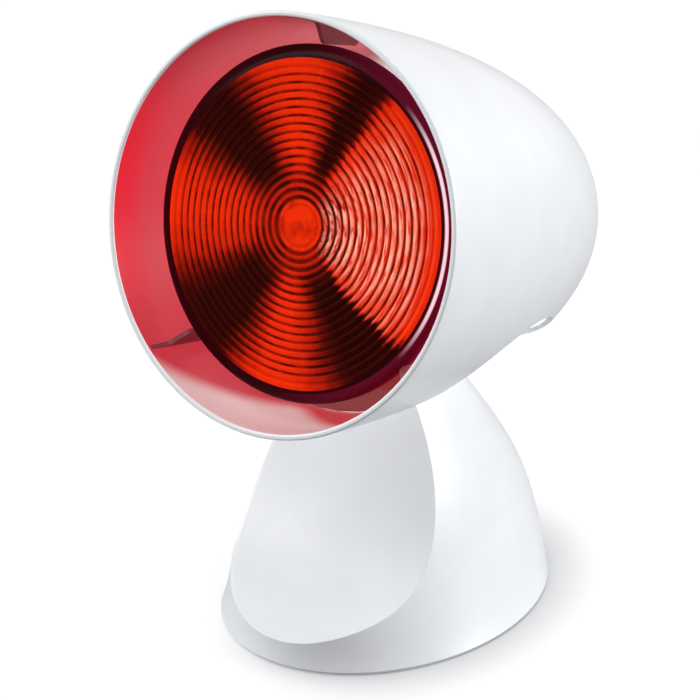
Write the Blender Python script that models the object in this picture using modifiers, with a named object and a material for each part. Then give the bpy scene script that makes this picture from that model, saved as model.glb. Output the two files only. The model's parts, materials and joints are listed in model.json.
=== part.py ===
"""Infrared heat therapy lamp: a tilting round shade with a ribbed red bulb on a scooped oval foot.

Metres, +Z up, the mouth of the shade looks towards -Y. The origin is on the floor, under the
centre of the lamp's bounding box.
"""
import math

import bmesh
import bpy
from mathutils import Matrix, Vector
from mathutils.geometry import interpolate_bezier

MM = 0.001
MERGE = 0.00001

# Clearances that the whole lamp shares
GAP = 0.3 * MM
OVERRUN = 12 * MM
SINK = 0.8 * MM

# Foot and neck
FOOT_LENGTH = 144.8 * MM
FOOT_WIDTH = 113.6 * MM
FOOT_WALL = 2.4 * MM
FLOOR_GAP = 1.5 * MM
FOOT_EDGE = 0.8 * MM
DOME_BASE = 2 * MM
DOME_RISE = 12 * MM
HOLLOW_DROP = 22 * MM

# Shade, sized round its bulb and socket
BULB_CLEARANCE = 8.3 * MM
TAIL_ROOM = 29.5 * MM
SHADE_WALL = 2.0 * MM
RIM_ROUND = 0.7 * MM
RIM_FORWARD = 67.9 * MM
SHADE_TILT = math.radians(13.3)

# Hinge between neck and shade
HINGE_HEIGHT = 90 * MM
HINGE_BACK = 5 * MM
AXLE_RADIUS = 3 * MM
AXLE_HALF = 16 * MM
EYE_RADIUS = 8 * MM
TONGUE_HALF = 6 * MM
WASHER_THICK = 0.8 * MM
PLUG_RADIUS = 4.6 * MM
PLUG_THICK = 5 * MM

# Arch that the shade leaves open over the neck
ARCH_RADIUS = 55.8 * MM
ARCH_BACK = 1.5 * MM
ARCH_DROP = 29.2 * MM
SADDLE_THICK = 1.8 * MM
SOCKET_ROOM = 4.05 * MM

# Bulb and its socket, all measured back from the rim plane
BULB_RADIUS = 60.5 * MM
BEAD_DEPTH = 18.2 * MM
BEAD_ROUND = 1.9 * MM
LENS_RISE = 3 * MM
GLASS_WALL = 2.2 * MM
REFLECTOR_DEPTH = 52 * MM
BULB_NECK_RADIUS = 18.5 * MM
BULB_NECK_END = 85 * MM
CAP_RADIUS = 13.2 * MM
CAP_LENGTH = 22 * MM
SOCKET_RADIUS = 20.5 * MM
SOCKET_LENGTH = 42 * MM
SOCKET_BACKING = 11 * MM
BRACKET_THICK = 1.6 * MM
BRACKET_FLANGE = 10.5 * MM

# Faces of the round shapes
SHADE_STEPS = 48
BULB_STEPS = 30
SMALL_STEPS = 16
POST_STEPS = 12
SCREW_STEPS = 8
FOOT_SIDES = 44
ARCH_SIDES = 72

# Looks, as colour, roughness and metallic value
WHITE = (0.86, 0.87, 0.88)
STEEL = (0.62, 0.63, 0.65)
WHITE_PLASTIC = (WHITE, 0.25)
PRESSED_STEEL = ((0.75, 0.76, 0.77), 0.4)
BRIGHT_STEEL = (STEEL, 0.3, 1.0)
BRASS = ((0.75, 0.58, 0.28), 0.3, 1.0)
CAST_IRON = ((0.2, 0.2, 0.21), 0.6, 0.8)
BLACK_RUBBER = ((0.03, 0.03, 0.03), 0.8)
BLACK_PLASTIC = ((0.05, 0.05, 0.05), 0.35)
DARK_PLASTIC = ((0.12, 0.12, 0.13), 0.55)
PORCELAIN = ((0.9, 0.89, 0.86), 0.35)
GLASS_SLEEVE = ((0.85, 0.84, 0.8), 0.7)
RED_GLASS = ((0.55, 0.03, 0.01), 0.08)
MIRROR = ((0.8, 0.8, 0.82), 0.1, 0.9)
CLEAR_GLASS = ((0.8, 0.85, 0.85), 0.1)
BLACK_GLASS = ((0.03, 0.03, 0.04), 0.2)
TUNGSTEN = ((0.5, 0.48, 0.45), 0.4, 1.0)

FOOT_HALF = FOOT_LENGTH / 2
FOOT_SIDE = FOOT_WIDTH / 2
DOME_START = HINGE_HEIGHT + DOME_BASE
SHADE_INNER = BULB_RADIUS + BULB_CLEARANCE
RIM_RADIUS = SHADE_INNER + SHADE_WALL
LENS_RADIUS = BULB_RADIUS - 2 * BEAD_ROUND
NECK_END = BEAD_DEPTH + BULB_NECK_END
SOCKET_FRONT = NECK_END + GAP
SOCKET_BACK = SOCKET_FRONT + SOCKET_LENGTH
SOCKET_FLOOR = SOCKET_BACK - SOCKET_BACKING
BRACKET_RADIUS = SOCKET_RADIUS + BRACKET_FLANGE
BRACKET_FRONT = SOCKET_BACK + GAP
BRACKET_BACK = BRACKET_FRONT + BRACKET_THICK
SHADE_DEPTH = BRACKET_BACK + TAIL_ROOM
ARCH_FORWARD = RIM_FORWARD + HINGE_BACK + ARCH_BACK
ARCH_TO_AXIS = ARCH_RADIUS + SADDLE_THICK + SOCKET_ROOM + SOCKET_RADIUS
HINGE_DROP = (ARCH_TO_AXIS + ARCH_FORWARD * math.sin(SHADE_TILT)) / math.cos(SHADE_TILT) - ARCH_DROP
RIM_HEIGHT = HINGE_HEIGHT + HINGE_DROP

# Side views of the foot, as shares of its half length or half width and of its height
REAR_SHARES = ((1.0, 0.0), (1.077, 0.449), (0.684, 0.646), (0.381, 1.0))
FRONT_SHARES = ((-1.0, 0.0), (-0.92, 0.15), (-1.152, 0.567), (-0.493, 1.0))
SIDE_SHARES = ((1.0, 0.0), (0.799, 0.303), (0.799, 0.577), (0.382, 1.0))
# The scooped face, from under the toe up to the top of the neck
FACE_SHARES = ((-0.928, 0.130), (-0.641, 0.262), (-0.320, 0.229), (-0.192, 1.183))


def clear_scene():
    for obj in list(bpy.data.objects):
        bpy.data.objects.remove(obj, do_unlink=True)


def new_collection(name):
    collection = bpy.data.collections.new(name)
    bpy.context.scene.collection.children.link(collection)
    return collection


clear_scene()
PARTS = new_collection("infrared_heat_therapy_lamp")
CUTTERS = new_collection("cutters")


def material(name, colour, roughness, metallic=0.0):
    mat = bpy.data.materials.new(name)
    mat.use_nodes = True
    shader = mat.node_tree.nodes["Principled BSDF"]
    shader.inputs["Base Color"].default_value = (*colour, 1)
    shader.inputs["Roughness"].default_value = roughness
    shader.inputs["Metallic"].default_value = metallic
    return mat


def link(obj, parent, look=None):
    """Put a piece with its material in the parts, or a tool shape without one in the cutters."""
    if look:
        PARTS.objects.link(obj)
        obj.data.materials.append(material(obj.name, *look))
    else:
        CUTTERS.objects.link(obj)
        obj.hide_render = True
        obj.display_type = "WIRE"
    obj.parent = parent
    return obj


def empty(name, parent, location, rotation=(0, 0, 0)):
    obj = bpy.data.objects.new(name, None)
    CUTTERS.objects.link(obj)
    obj.parent = parent
    obj.location = location
    obj.rotation_euler = rotation
    return obj


def from_bmesh(name, shape, parent, look=None):
    mesh = bpy.data.meshes.new(name)
    bmesh.ops.recalc_face_normals(shape, faces=shape.faces)
    shape.to_mesh(mesh)
    shape.free()
    return link(bpy.data.objects.new(name, mesh), parent, look)


def smooth(obj):
    obj.data.shade_smooth()
    obj.data.set_sharp_from_angle(angle=math.radians(35))


def turned(name, outline, parent, look=None, steps=SMALL_STEPS, closed=True):
    """Revolve (radius, height) points; the outer side has to run from top to bottom."""
    mesh = bpy.data.meshes.new(name)
    edges = [(i, i + 1) for i in range(len(outline) - 1)]
    if closed:
        edges.append((len(outline) - 1, 0))
    mesh.from_pydata([(r, 0, z) for r, z in outline], edges, [])
    obj = link(bpy.data.objects.new(name, mesh), parent, look)
    screw = obj.modifiers.new("turn", "SCREW")
    screw.axis = "Z"
    screw.steps = steps
    screw.render_steps = steps
    screw.use_merge_vertices = True
    screw.merge_threshold = MERGE
    screw.use_smooth_shade = True
    return obj


def rod(name, radius, length, parent, look=None, at=(0, 0, 0), turn=(0, 0, 0), sides=SMALL_STEPS):
    shape = bmesh.new()
    bmesh.ops.create_cone(shape, cap_ends=True, segments=sides, radius1=radius, radius2=radius, depth=length)
    obj = from_bmesh(name, shape, parent, look)
    obj.location = at
    obj.rotation_euler = turn
    return obj


def block(name, size, parent, look=None, at=(0, 0, 0), turn=(0, 0, 0)):
    shape = bmesh.new()
    bmesh.ops.create_cube(shape, size=1)
    bmesh.ops.scale(shape, vec=Vector(size), verts=shape.verts)
    obj = from_bmesh(name, shape, parent, look)
    obj.location = at
    obj.rotation_euler = turn
    return obj


def to_mesh(obj):
    """Turn a curve object, or one with modifiers, into a plain mesh object of the same name."""
    bpy.context.view_layer.update()
    source = obj.evaluated_get(bpy.context.evaluated_depsgraph_get())
    mesh = bpy.data.meshes.new_from_object(source)
    shape = bmesh.new()
    shape.from_mesh(mesh)
    bmesh.ops.remove_doubles(shape, verts=shape.verts, dist=MERGE)
    bmesh.ops.recalc_face_normals(shape, faces=shape.faces)
    shape.to_mesh(mesh)
    shape.free()
    name = obj.name
    home = obj.users_collection[0]
    obj.name = name + "_guide"
    solid = bpy.data.objects.new(name, mesh)
    home.objects.link(solid)
    solid.hide_render = obj.hide_render
    solid.display_type = obj.display_type
    solid.parent = obj.parent
    solid.location = obj.location
    solid.rotation_euler = obj.rotation_euler
    bpy.data.objects.remove(obj, do_unlink=True)
    return solid


def plate(name, outline, thickness, parent, look=None, at=(0, 0, 0), turn=(0, 0, 0), holes=()):
    """Extrude a flat outline, centred on its own plane, with any holes left open."""
    curve = bpy.data.curves.new(name, "CURVE")
    curve.dimensions = "2D"
    curve.fill_mode = "BOTH"
    curve.extrude = thickness / 2
    for points in (outline, *holes):
        spline = curve.splines.new("POLY")
        spline.points.add(len(points) - 1)
        for point, (x, y) in zip(spline.points, points):
            point.co = (x, y, 0, 1)
        spline.use_cyclic_u = True
    obj = link(bpy.data.objects.new(name, curve), parent, look)
    obj.location = at
    obj.rotation_euler = turn
    return to_mesh(obj)


def wire(name, points, radius, parent, look, samples=6):
    """A round lead along a smooth curve through its own points."""
    curve = bpy.data.curves.new(name, "CURVE")
    curve.dimensions = "3D"
    curve.bevel_depth = radius
    curve.bevel_resolution = 2
    curve.use_fill_caps = True
    path = smooth_path(points, samples)
    spline = curve.splines.new("POLY")
    spline.points.add(len(path) - 1)
    for point, place in zip(spline.points, path):
        point.co = (*place, 1)
    return to_mesh(link(bpy.data.objects.new(name, curve), parent, look))


def smooth_path(points, samples):
    places = [Vector(p) for p in points]
    tangents = [places[min(i + 1, len(places) - 1)] - places[max(i - 1, 0)] for i in range(len(places))]
    path = [places[0]]
    for i in range(len(places) - 1):
        reach = (places[i + 1] - places[i]).length / 3
        first = places[i] + tangents[i].normalized() * reach
        second = places[i + 1] - tangents[i + 1].normalized() * reach
        path += interpolate_bezier(places[i], first, second, places[i + 1], samples)[1:]
    return path


def combine(obj, tool, operation):
    step = obj.modifiers.new(tool.name, "BOOLEAN")
    step.operation = operation
    step.object = tool
    step.solver = "EXACT"
    return obj


def cut(obj, *tools):
    for tool in tools:
        combine(obj, tool, "DIFFERENCE")
    return obj


def add(obj, *tools):
    for tool in tools:
        combine(obj, tool, "UNION")
    return obj


def keep_inside(obj, tool):
    return combine(obj, tool, "INTERSECT")


def copies(name, source, places, parent, look=None):
    """Place a finished shape at each matrix: as numbered parts, or joined as one tool."""
    pattern = to_mesh(source)
    mesh = pattern.data
    bpy.data.objects.remove(pattern, do_unlink=True)
    if look:
        mesh.materials.append(material(name, *look))
        for number, place in enumerate(places, 1):
            piece = bpy.data.objects.new(f"{name}_{number}", mesh)
            PARTS.objects.link(piece)
            piece.parent = parent
            piece.matrix_local = place
        return None
    shape = bmesh.new()
    for place in places:
        start = len(shape.verts)
        shape.from_mesh(mesh)
        shape.verts.ensure_lookup_table()
        bmesh.ops.transform(shape, matrix=place, verts=shape.verts[start:])
    return from_bmesh(name, shape, parent)


def loft(name, rings, parent, look=None):
    """Skin a stack of unlike sections that have the same number of points, and close both ends."""
    shape = bmesh.new()
    rows = [[shape.verts.new(point) for point in ring] for ring in rings]
    for low, high in zip(rows, rows[1:]):
        for i in range(len(low)):
            j = (i + 1) % len(low)
            shape.faces.new((low[i], low[j], high[j], high[i]))
    shape.faces.new(rows[0])
    shape.faces.new(rows[-1])
    return from_bmesh(name, shape, parent, look)


def arc(centre, radius, start, end, count):
    """Points on a circle from one angle to another, in degrees."""
    turns = [math.radians(start + (end - start) * i / count) for i in range(count + 1)]
    return [(centre[0] + radius * math.cos(a), centre[1] + radius * math.sin(a)) for a in turns]


def circle(radius, count=SMALL_STEPS, centre=(0, 0)):
    return arc(centre, radius, 0, 360 * (count - 1) / count, count - 1)


def guide(shares, reach, height, samples=40):
    """A Bezier guide curve in the (Y or X, Z) plane from its four control points."""
    control = [Vector((along * reach, up * height, 0)) for along, up in shares]
    return [(p.x, p.y) for p in interpolate_bezier(*control, samples)]


def read_guide(curve, height):
    """The guide's offset at a height."""
    for (low, z0), (high, z1) in zip(curve, curve[1:]):
        if height <= z1:
            return low + (high - low) * (height - z0) / (z1 - z0)
    return curve[-1][0]


def normals_of(curve):
    """Unit normals of a flat curve, to the left of its direction."""
    found = []
    for i in range(len(curve)):
        (x0, y0), (x1, y1) = curve[max(i - 1, 0)], curve[min(i + 1, len(curve) - 1)]
        length = math.hypot(x1 - x0, y1 - y0)
        found.append((-(y1 - y0) / length, (x1 - x0) / length))
    return found


def shifted(curve, distance):
    return [(x + nx * distance, y + ny * distance) for (x, y), (nx, ny) in zip(curve, normals_of(curve))]


# The shade's outer line, as (radius, depth behind the rim), from the rim back to the pole
BULGE_SHARE = 0.3663
TAPER_SHARE = 0.0384
TAIL_SHARE = 0.8178
OUTER_SAMPLES = 13
INNER_SAMPLES = 9


def shade_line(samples=OUTER_SAMPLES):
    control = [
        Vector((RIM_RADIUS, 0, 0)),
        Vector((RIM_RADIUS * (1 - TAPER_SHARE), SHADE_DEPTH * BULGE_SHARE, 0)),
        Vector((RIM_RADIUS * TAIL_SHARE, SHADE_DEPTH, 0)),
        Vector((0, SHADE_DEPTH, 0)),
    ]
    return [(p.x, p.y) for p in interpolate_bezier(*control, samples)]


def inner_line(inset):
    """The shade's outer line moved in by a wall, ending on the axis."""
    line = shifted(shade_line(INNER_SAMPLES), inset)
    line[0] = (RIM_RADIUS - inset, 0)
    line[-1] = (0, SHADE_DEPTH - inset)
    return line


def inner_radius(depth, inset=SHADE_WALL):
    line = inner_line(inset)
    for (r0, s0), (r1, s1) in zip(line, line[1:]):
        if depth <= s1:
            return r0 + (r1 - r0) * (depth - s0) / (s1 - s0)
    return 0.0


def foot_centre():
    """How far the foot stands from the middle of the lamp's bounding box."""
    front = -RIM_FORWARD - RIM_RADIUS * math.sin(SHADE_TILT)
    reach = [s * math.cos(SHADE_TILT) + r * math.sin(SHADE_TILT) for r, s in shade_line()]
    return -(front - RIM_FORWARD + max(reach)) / 2


BASE = empty("foot_centre", None, (0, foot_centre(), 0))
HINGE = empty("tilt_axis", BASE, (0, HINGE_BACK, HINGE_HEIGHT))
HEAD = empty(
    "rim_centre",
    HINGE,
    (0, -RIM_FORWARD - HINGE_BACK, RIM_HEIGHT - HINGE_HEIGHT),
    (math.pi / 2 - SHADE_TILT, 0, 0),
)
BULB = empty("bulb_axis", HEAD, (0, 0, 0))
ARCH = empty("arch_axis", HINGE, (0, ARCH_BACK, -ARCH_DROP))


def foot_section(height, wall=0.0):
    """Half width, front and rear of the foot's oval section."""
    side = read_guide(guide(SIDE_SHARES, FOOT_SIDE, DOME_START), height)
    front = read_guide(guide(FRONT_SHARES, FOOT_HALF, DOME_START), height)
    rear = read_guide(guide(REAR_SHARES, FOOT_HALF, DOME_START), height)
    return side - wall, front + wall, rear - wall


def oval(section, height, sides, scale=1.0):
    side, front, rear = section
    middle = (front + rear) / 2
    half = (rear - front) / 2
    ring = []
    for i in range(sides):
        turn = 2 * math.pi * i / sides
        ring.append((side * scale * math.cos(turn), middle + half * scale * math.sin(turn), height))
    return ring


FOOT_ROWS = 11
DOME_ROWS = 4


def foot_solid(name, look=None, inset=0.0):
    """The foot before it is hollowed: oval sections with a small lower edge and a domed top."""
    low = foot_section(FLOOR_GAP, FOOT_EDGE + inset)
    rings = [oval(low, FLOOR_GAP, FOOT_SIDES)]
    first = FLOOR_GAP + FOOT_EDGE
    for i in range(FOOT_ROWS):
        height = first + (DOME_START - first) * i / (FOOT_ROWS - 1)
        rings.append(oval(foot_section(height, inset), height, FOOT_SIDES))
    top = foot_section(DOME_START, inset)
    for i in range(1, DOME_ROWS):
        turn = math.pi / 2 * i / DOME_ROWS
        rings.append(oval(top, DOME_START + DOME_RISE * math.sin(turn), FOOT_SIDES, math.cos(turn)))
    return loft(name, rings, BASE, look)


def foot_hollow():
    top = HINGE_HEIGHT - HOLLOW_DROP
    rings = [oval(foot_section(0, FOOT_WALL), -OVERRUN, FOOT_SIDES // 2)]
    rows = FOOT_ROWS // 2
    for i in range(rows + 1):
        height = top * i / rows
        rings.append(oval(foot_section(height, FOOT_WALL), height, FOOT_SIDES // 2))
    return loft("hollow_tool", rings, BASE)


# The scooped front face and the cover that forms it
COVER_THICK = 2.2 * MM
COVER_LIP = 0.8 * MM
FACE_CROWN = 3 * MM
FACE_HALF = 40 * MM
FACE_COLUMNS = 10
FACE_OVERREACH_SHARE = 1.1
FACE_SWELL_SHARE = 0.4
FACE_SAMPLES = 16


def face_line():
    """The face's side view, run on past the toe and past the top of the neck."""
    line = guide(FACE_SHARES, FOOT_HALF, DOME_START, FACE_SAMPLES)
    (y0, z0), (y1, z1) = line[0], line[1]
    reach = 2 * OVERRUN / math.hypot(y1 - y0, z1 - z0)
    return [(y0 - (y1 - y0) * reach, z0 - (z1 - z0) * reach)] + line


def face_edge(y, height):
    """Half width of the foot where the face meets its side wall, nothing outside the foot."""
    side, front, rear = foot_section(height)
    offset = (y - (front + rear) / 2) / ((rear - front) / 2)
    return side * math.sqrt(max(0.0, 1 - offset ** 2))


def face_rows(drop):
    """Rows of points across the face, moved inwards by a distance; the middle stands forward."""
    line = face_line()
    rows = []
    for i, ((y, z), (back, low)) in enumerate(zip(line, shifted(line, -drop))):
        crown = FACE_CROWN * math.sin(math.pi / 2 * min(1.0, i / len(line) / FACE_SWELL_SHARE))
        edge = face_edge(y, z)
        row = []
        for j in range(FACE_COLUMNS + 1):
            x = (2 * j / FACE_COLUMNS - 1) * FOOT_SIDE * FACE_OVERREACH_SHARE
            row.append((x, back - crown * (edge ** 2 - x ** 2) / FACE_HALF ** 2, low))
        rows.append(row)
    return rows


def slab_between(name, near, far):
    """A closed slab whose front and back are two grids of points of the same size."""
    rings = [list(front) + list(reversed(back)) for front, back in zip(near, far)]
    return loft(name, rings, BASE)


def face_slab():
    return slab_between("face_slab", face_rows(0), face_rows(COVER_THICK))


def ahead_of_face(name, drop):
    """Everything in front of the face, from a distance behind its surface."""
    back = face_rows(drop)
    ahead = [[(x, -FOOT_LENGTH, z) for x, y, z in row] for row in back]
    return slab_between(name, ahead, back)


def cover_seat():
    """The pocket for the cover, which leaves a thin lip of the housing along the crease."""
    return keep_inside(ahead_of_face("seat_tool", COVER_THICK + GAP), foot_solid("seat_limit", inset=COVER_LIP))


# Rocker switch and cord inlet, each in a flat seat in the rear wall
SWITCH_HEIGHT = 38 * MM
INLET_HEIGHT = 16 * MM
SEAT_DEPTH = 2.2 * MM
SEAT_BACKING = 4 * MM
BEZEL_WIDTH = 21 * MM
BEZEL_HEIGHT = 15 * MM
BEZEL_THICK = 1.8 * MM
SWITCH_WIDTH = 19 * MM
SWITCH_TALL = 12.6 * MM
SWITCH_DEEP = 13 * MM
ROCKER_WIDTH = 16 * MM
ROCKER_TALL = 10 * MM
INLET_RADIUS = 7 * MM
INLET_NECK = 5 * MM
INLET_BORE = 3.4 * MM
INLET_LIP = 2.6 * MM
WALL_SPAN = 3 * MM


def rear_frame(name, height):
    """An empty on the rear wall whose Z points straight out of it."""
    curve = guide(REAR_SHARES, FOOT_HALF, DOME_START)
    below = read_guide(curve, height - WALL_SPAN)
    above = read_guide(curve, height + WALL_SPAN)
    lean = math.atan2(below - above, 2 * WALL_SPAN)
    return empty(name, BASE, (0, read_guide(curve, height), height), (-math.pi / 2 + lean, 0, 0))


SWITCH = rear_frame("switch_seat", SWITCH_HEIGHT)
INLET = rear_frame("inlet_seat", INLET_HEIGHT)

# Fasteners
SCREW_RADIUS = 1.4 * MM
SCREW_HEAD_RADIUS = 2.9 * MM
SCREW_HEAD = 1.8 * MM
SCREW_PILOT = SCREW_RADIUS + GAP
SOCKET_DRIVE_RADIUS = 1.3 * MM
SOCKET_DRIVE_DEPTH = 0.9 * MM
POST_RADIUS = 4 * MM

# What closes the foot from below
PLATE_THICK = 2.4 * MM
PLATE_RAISE = 1.0 * MM
PAD_RADIUS = 7 * MM
PAD_RECESS = 0.9 * MM
PAD_SHARE = 0.60
POST_SHARE = 0.83
SCREW_LENGTH = 9 * MM
PLATE_BOTTOM = FLOOR_GAP + PLATE_RAISE - GAP
PLATE_TOP = PLATE_BOTTOM + PLATE_THICK


def around_foot(share, turns):
    """Places on a smaller oval inside the foot, at the given angles in degrees."""
    places = []
    for turn in turns:
        angle = math.radians(turn)
        places.append((FOOT_SIDE * share * math.cos(angle), FOOT_HALF * share * math.sin(angle)))
    return places


PAD_PLACES = around_foot(PAD_SHARE, (48, 132, 228, 312))
POST_PLACES = around_foot(POST_SHARE, (14, 166, 202, 338))


def screw_outline(length, head=SCREW_HEAD, head_radius=SCREW_HEAD_RADIUS):
    """A screw with a socket in its head: the head's underside is at height 0, the tip below."""
    return [
        (0, head - SOCKET_DRIVE_DEPTH),
        (SOCKET_DRIVE_RADIUS, head - SOCKET_DRIVE_DEPTH),
        (SOCKET_DRIVE_RADIUS, head),
        (head_radius * 0.8, head),
        (head_radius, head * 0.6),
        (head_radius, 0),
        (SCREW_RADIUS, 0),
        (SCREW_RADIUS, -length + SCREW_RADIUS),
        (0, -length),
    ]


def screws(name, length, places, parent, look):
    source = turned(name + "_pattern", screw_outline(length), parent, steps=SCREW_STEPS, closed=False)
    return copies(name, source, places, parent, look)


def posts(name, radius, bottom, top, places, parent, look=None):
    source = rod(name + "_pattern", radius, top - bottom, parent, sides=POST_STEPS)
    moves = [Matrix.Translation((x, y, (top + bottom) / 2)) for x, y in places]
    return copies(name, source, moves, parent, look)


# The housing of the foot
POST_TOP = HINGE_HEIGHT - HOLLOW_DROP
LEAD_RADIUS = 1.8 * MM
LEAD_HOLE = LEAD_RADIUS + GAP
SLOT_HALF = TONGUE_HALF + WASHER_THICK + 2 * GAP
EYE_CLEARANCE = 1.5 * MM
SLOT_DROP = EYE_RADIUS + EYE_CLEARANCE
LEAD_BACK = 16 * MM


def build_housing():
    housing = foot_solid("base_housing", WHITE_PLASTIC)
    cut(housing, foot_hollow())
    pillars = posts("housing_posts", POST_RADIUS, PLATE_TOP + GAP, POST_TOP, POST_PLACES, BASE)
    add(housing, keep_inside(pillars, foot_solid("post_limit", inset=SINK)))
    pads = [
        block("switch_pad", (BEZEL_WIDTH + 2 * SEAT_BACKING, BEZEL_HEIGHT + 2 * SEAT_BACKING, SEAT_BACKING),
              SWITCH, at=(0, 0, -SEAT_DEPTH - SEAT_BACKING / 2)),
        rod("inlet_pad", INLET_RADIUS + SEAT_BACKING / 2, SEAT_BACKING, INLET,
            at=(0, 0, -SEAT_DEPTH - SEAT_BACKING / 2)),
    ]
    for pad in pads:
        add(housing, keep_inside(pad, foot_solid(pad.name + "_limit", inset=SINK)))
    cut(
        housing,
        ahead_of_face("face_tool", 0),
        cover_seat(),
        block("slot_tool", (2 * SLOT_HALF, FOOT_LENGTH, 2 * (SLOT_DROP + OVERRUN)), HINGE,
              at=(0, 0, OVERRUN)),
        rod("axle_tool", AXLE_RADIUS + GAP, FOOT_WIDTH, HINGE, turn=(0, math.pi / 2, 0)),
        posts("pilot_tool", SCREW_PILOT, 0, PLATE_TOP + SCREW_LENGTH, POST_PLACES, BASE),
        rod("lead_tool", LEAD_HOLE, HOLLOW_DROP, BASE,
            at=(0, LEAD_BACK, HINGE_HEIGHT - SLOT_DROP - HOLLOW_DROP / 2 + OVERRUN / 2)),
    )
    for side in (-1, 1):
        cut(housing, rod("plug_tool", PLUG_RADIUS + GAP, OVERRUN, HINGE,
                         at=(side * (AXLE_HALF + GAP + OVERRUN / 2), 0, 0), turn=(0, math.pi / 2, 0)))
    cut(
        housing,
        block("bezel_tool", (BEZEL_WIDTH + 2 * GAP, BEZEL_HEIGHT + 2 * GAP, OVERRUN), SWITCH,
              at=(0, 0, OVERRUN / 2 - SEAT_DEPTH)),
        block("switch_tool", (SWITCH_WIDTH + 2 * GAP, SWITCH_TALL + 2 * GAP, 2 * OVERRUN), SWITCH),
        rod("inlet_seat_tool", INLET_RADIUS + GAP, OVERRUN, INLET, at=(0, 0, OVERRUN / 2 - SEAT_DEPTH)),
        rod("inlet_tool", INLET_NECK + GAP, 2 * OVERRUN, INLET),
    )
    return housing


def build_front_cover():
    cover = foot_solid("front_cover", WHITE_PLASTIC, COVER_LIP + GAP)
    return keep_inside(cover, face_slab())


def build_base_plate():
    side, front, _ = foot_section(PLATE_TOP, FOOT_WALL + GAP)
    _, _, rear = foot_section(PLATE_BOTTOM, FOOT_WALL + GAP)
    outline = [(x, y) for x, y, z in oval((side, front, rear), 0, FOOT_SIDES // 2)]
    holes = [circle(SCREW_PILOT, POST_STEPS, place) for place in POST_PLACES]
    middle = (0, 0, PLATE_BOTTOM + PLATE_THICK / 2)
    bottom = plate("base_plate", outline, PLATE_THICK, BASE, DARK_PLASTIC, middle, holes=holes)
    recess = PLATE_BOTTOM + PAD_RECESS
    cut(bottom, posts("pad_tool", PAD_RADIUS + GAP, -OVERRUN, recess, PAD_PLACES, BASE))
    cut(bottom, posts("head_tool", SCREW_HEAD_RADIUS + GAP, -OVERRUN, PLATE_BOTTOM + PLATE_THICK / 2,
                      POST_PLACES, BASE))
    return bottom


# What stands inside the foot
BALLAST_HALF = 26 * MM
BALLAST_THICK = 8 * MM
BALLAST_FORWARD = 12 * MM
BLOCK_SIZE = (20 * MM, 12 * MM, 10 * MM)
BLOCK_BACK = 30 * MM
BLOCK_HOLE = 1.6 * MM
BLOCK_PITCH = 6 * MM


def build_base_fittings():
    top = PLATE_BOTTOM + PAD_RECESS - GAP
    posts("rubber_foot", PAD_RADIUS, 0, top, PAD_PLACES, BASE, BLACK_RUBBER)
    up = [Matrix.Translation((x, y, PLATE_BOTTOM + PLATE_THICK / 2 - GAP)) for x, y in POST_PLACES]
    turned_up = [place @ Matrix.Rotation(math.pi, 4, "X") for place in up]
    screws("plate_screw", SCREW_LENGTH, turned_up, BASE, BRIGHT_STEEL)
    rod("ballast_weight", BALLAST_HALF, BALLAST_THICK, BASE, CAST_IRON,
        at=(0, -BALLAST_FORWARD, PLATE_TOP + GAP + BALLAST_THICK / 2), sides=40)
    build_terminal_block()
    build_supply_lead()


def build_terminal_block():
    middle = (0, BLOCK_BACK, PLATE_TOP + GAP + BLOCK_SIZE[2] / 2)
    body = block("terminal_block", BLOCK_SIZE, BASE, PORCELAIN, at=middle)
    wells = [((i - 1) * BLOCK_PITCH, BLOCK_BACK) for i in range(3)]
    cut(body, posts("well_tool", BLOCK_HOLE, PLATE_TOP + BLOCK_SIZE[2] / 2, HINGE_HEIGHT, wells, BASE))


def build_supply_lead():
    front = BLOCK_BACK - BLOCK_SIZE[1] / 2 - GAP
    low = PLATE_TOP + BLOCK_SIZE[2] / 2
    roof = HINGE_HEIGHT - HOLLOW_DROP
    route = [
        (0, front, low),
        (0, front - 2 * LEAD_RADIUS, low),
        (0, LEAD_BACK, low + BLOCK_SIZE[2]),
        (0, LEAD_BACK, roof),
        (0, LEAD_BACK, HINGE_HEIGHT - SLOT_DROP - GAP),
    ]
    wire("supply_lead", route, LEAD_RADIUS, BASE, BLACK_RUBBER, 4)


def build_hinge():
    across = (0, math.pi / 2, 0)
    rod("hinge_axle", AXLE_RADIUS, 2 * AXLE_HALF, HINGE, BRIGHT_STEEL, turn=across)
    ring = [
        (EYE_RADIUS, WASHER_THICK / 2),
        (EYE_RADIUS, -WASHER_THICK / 2),
        (AXLE_RADIUS + GAP, -WASHER_THICK / 2),
        (AXLE_RADIUS + GAP, WASHER_THICK / 2),
    ]
    lean = Matrix.Rotation(math.pi / 2, 4, "Y")
    spots = [side * (TONGUE_HALF + GAP + WASHER_THICK / 2) for side in (-1, 1)]
    places = [Matrix.Translation((x, 0, 0)) @ lean for x in spots]
    copies("friction_washer", turned("washer_pattern", ring, HINGE), places, HINGE, BRIGHT_STEEL)
    plug = rod("plug_pattern", PLUG_RADIUS, PLUG_THICK, HINGE)
    spots = [side * (AXLE_HALF + 2 * GAP + PLUG_THICK / 2) for side in (-1, 1)]
    places = [Matrix.Translation((x, 0, 0)) @ lean for x in spots]
    copies("axle_plug", plug, places, HINGE, WHITE_PLASTIC)


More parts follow.
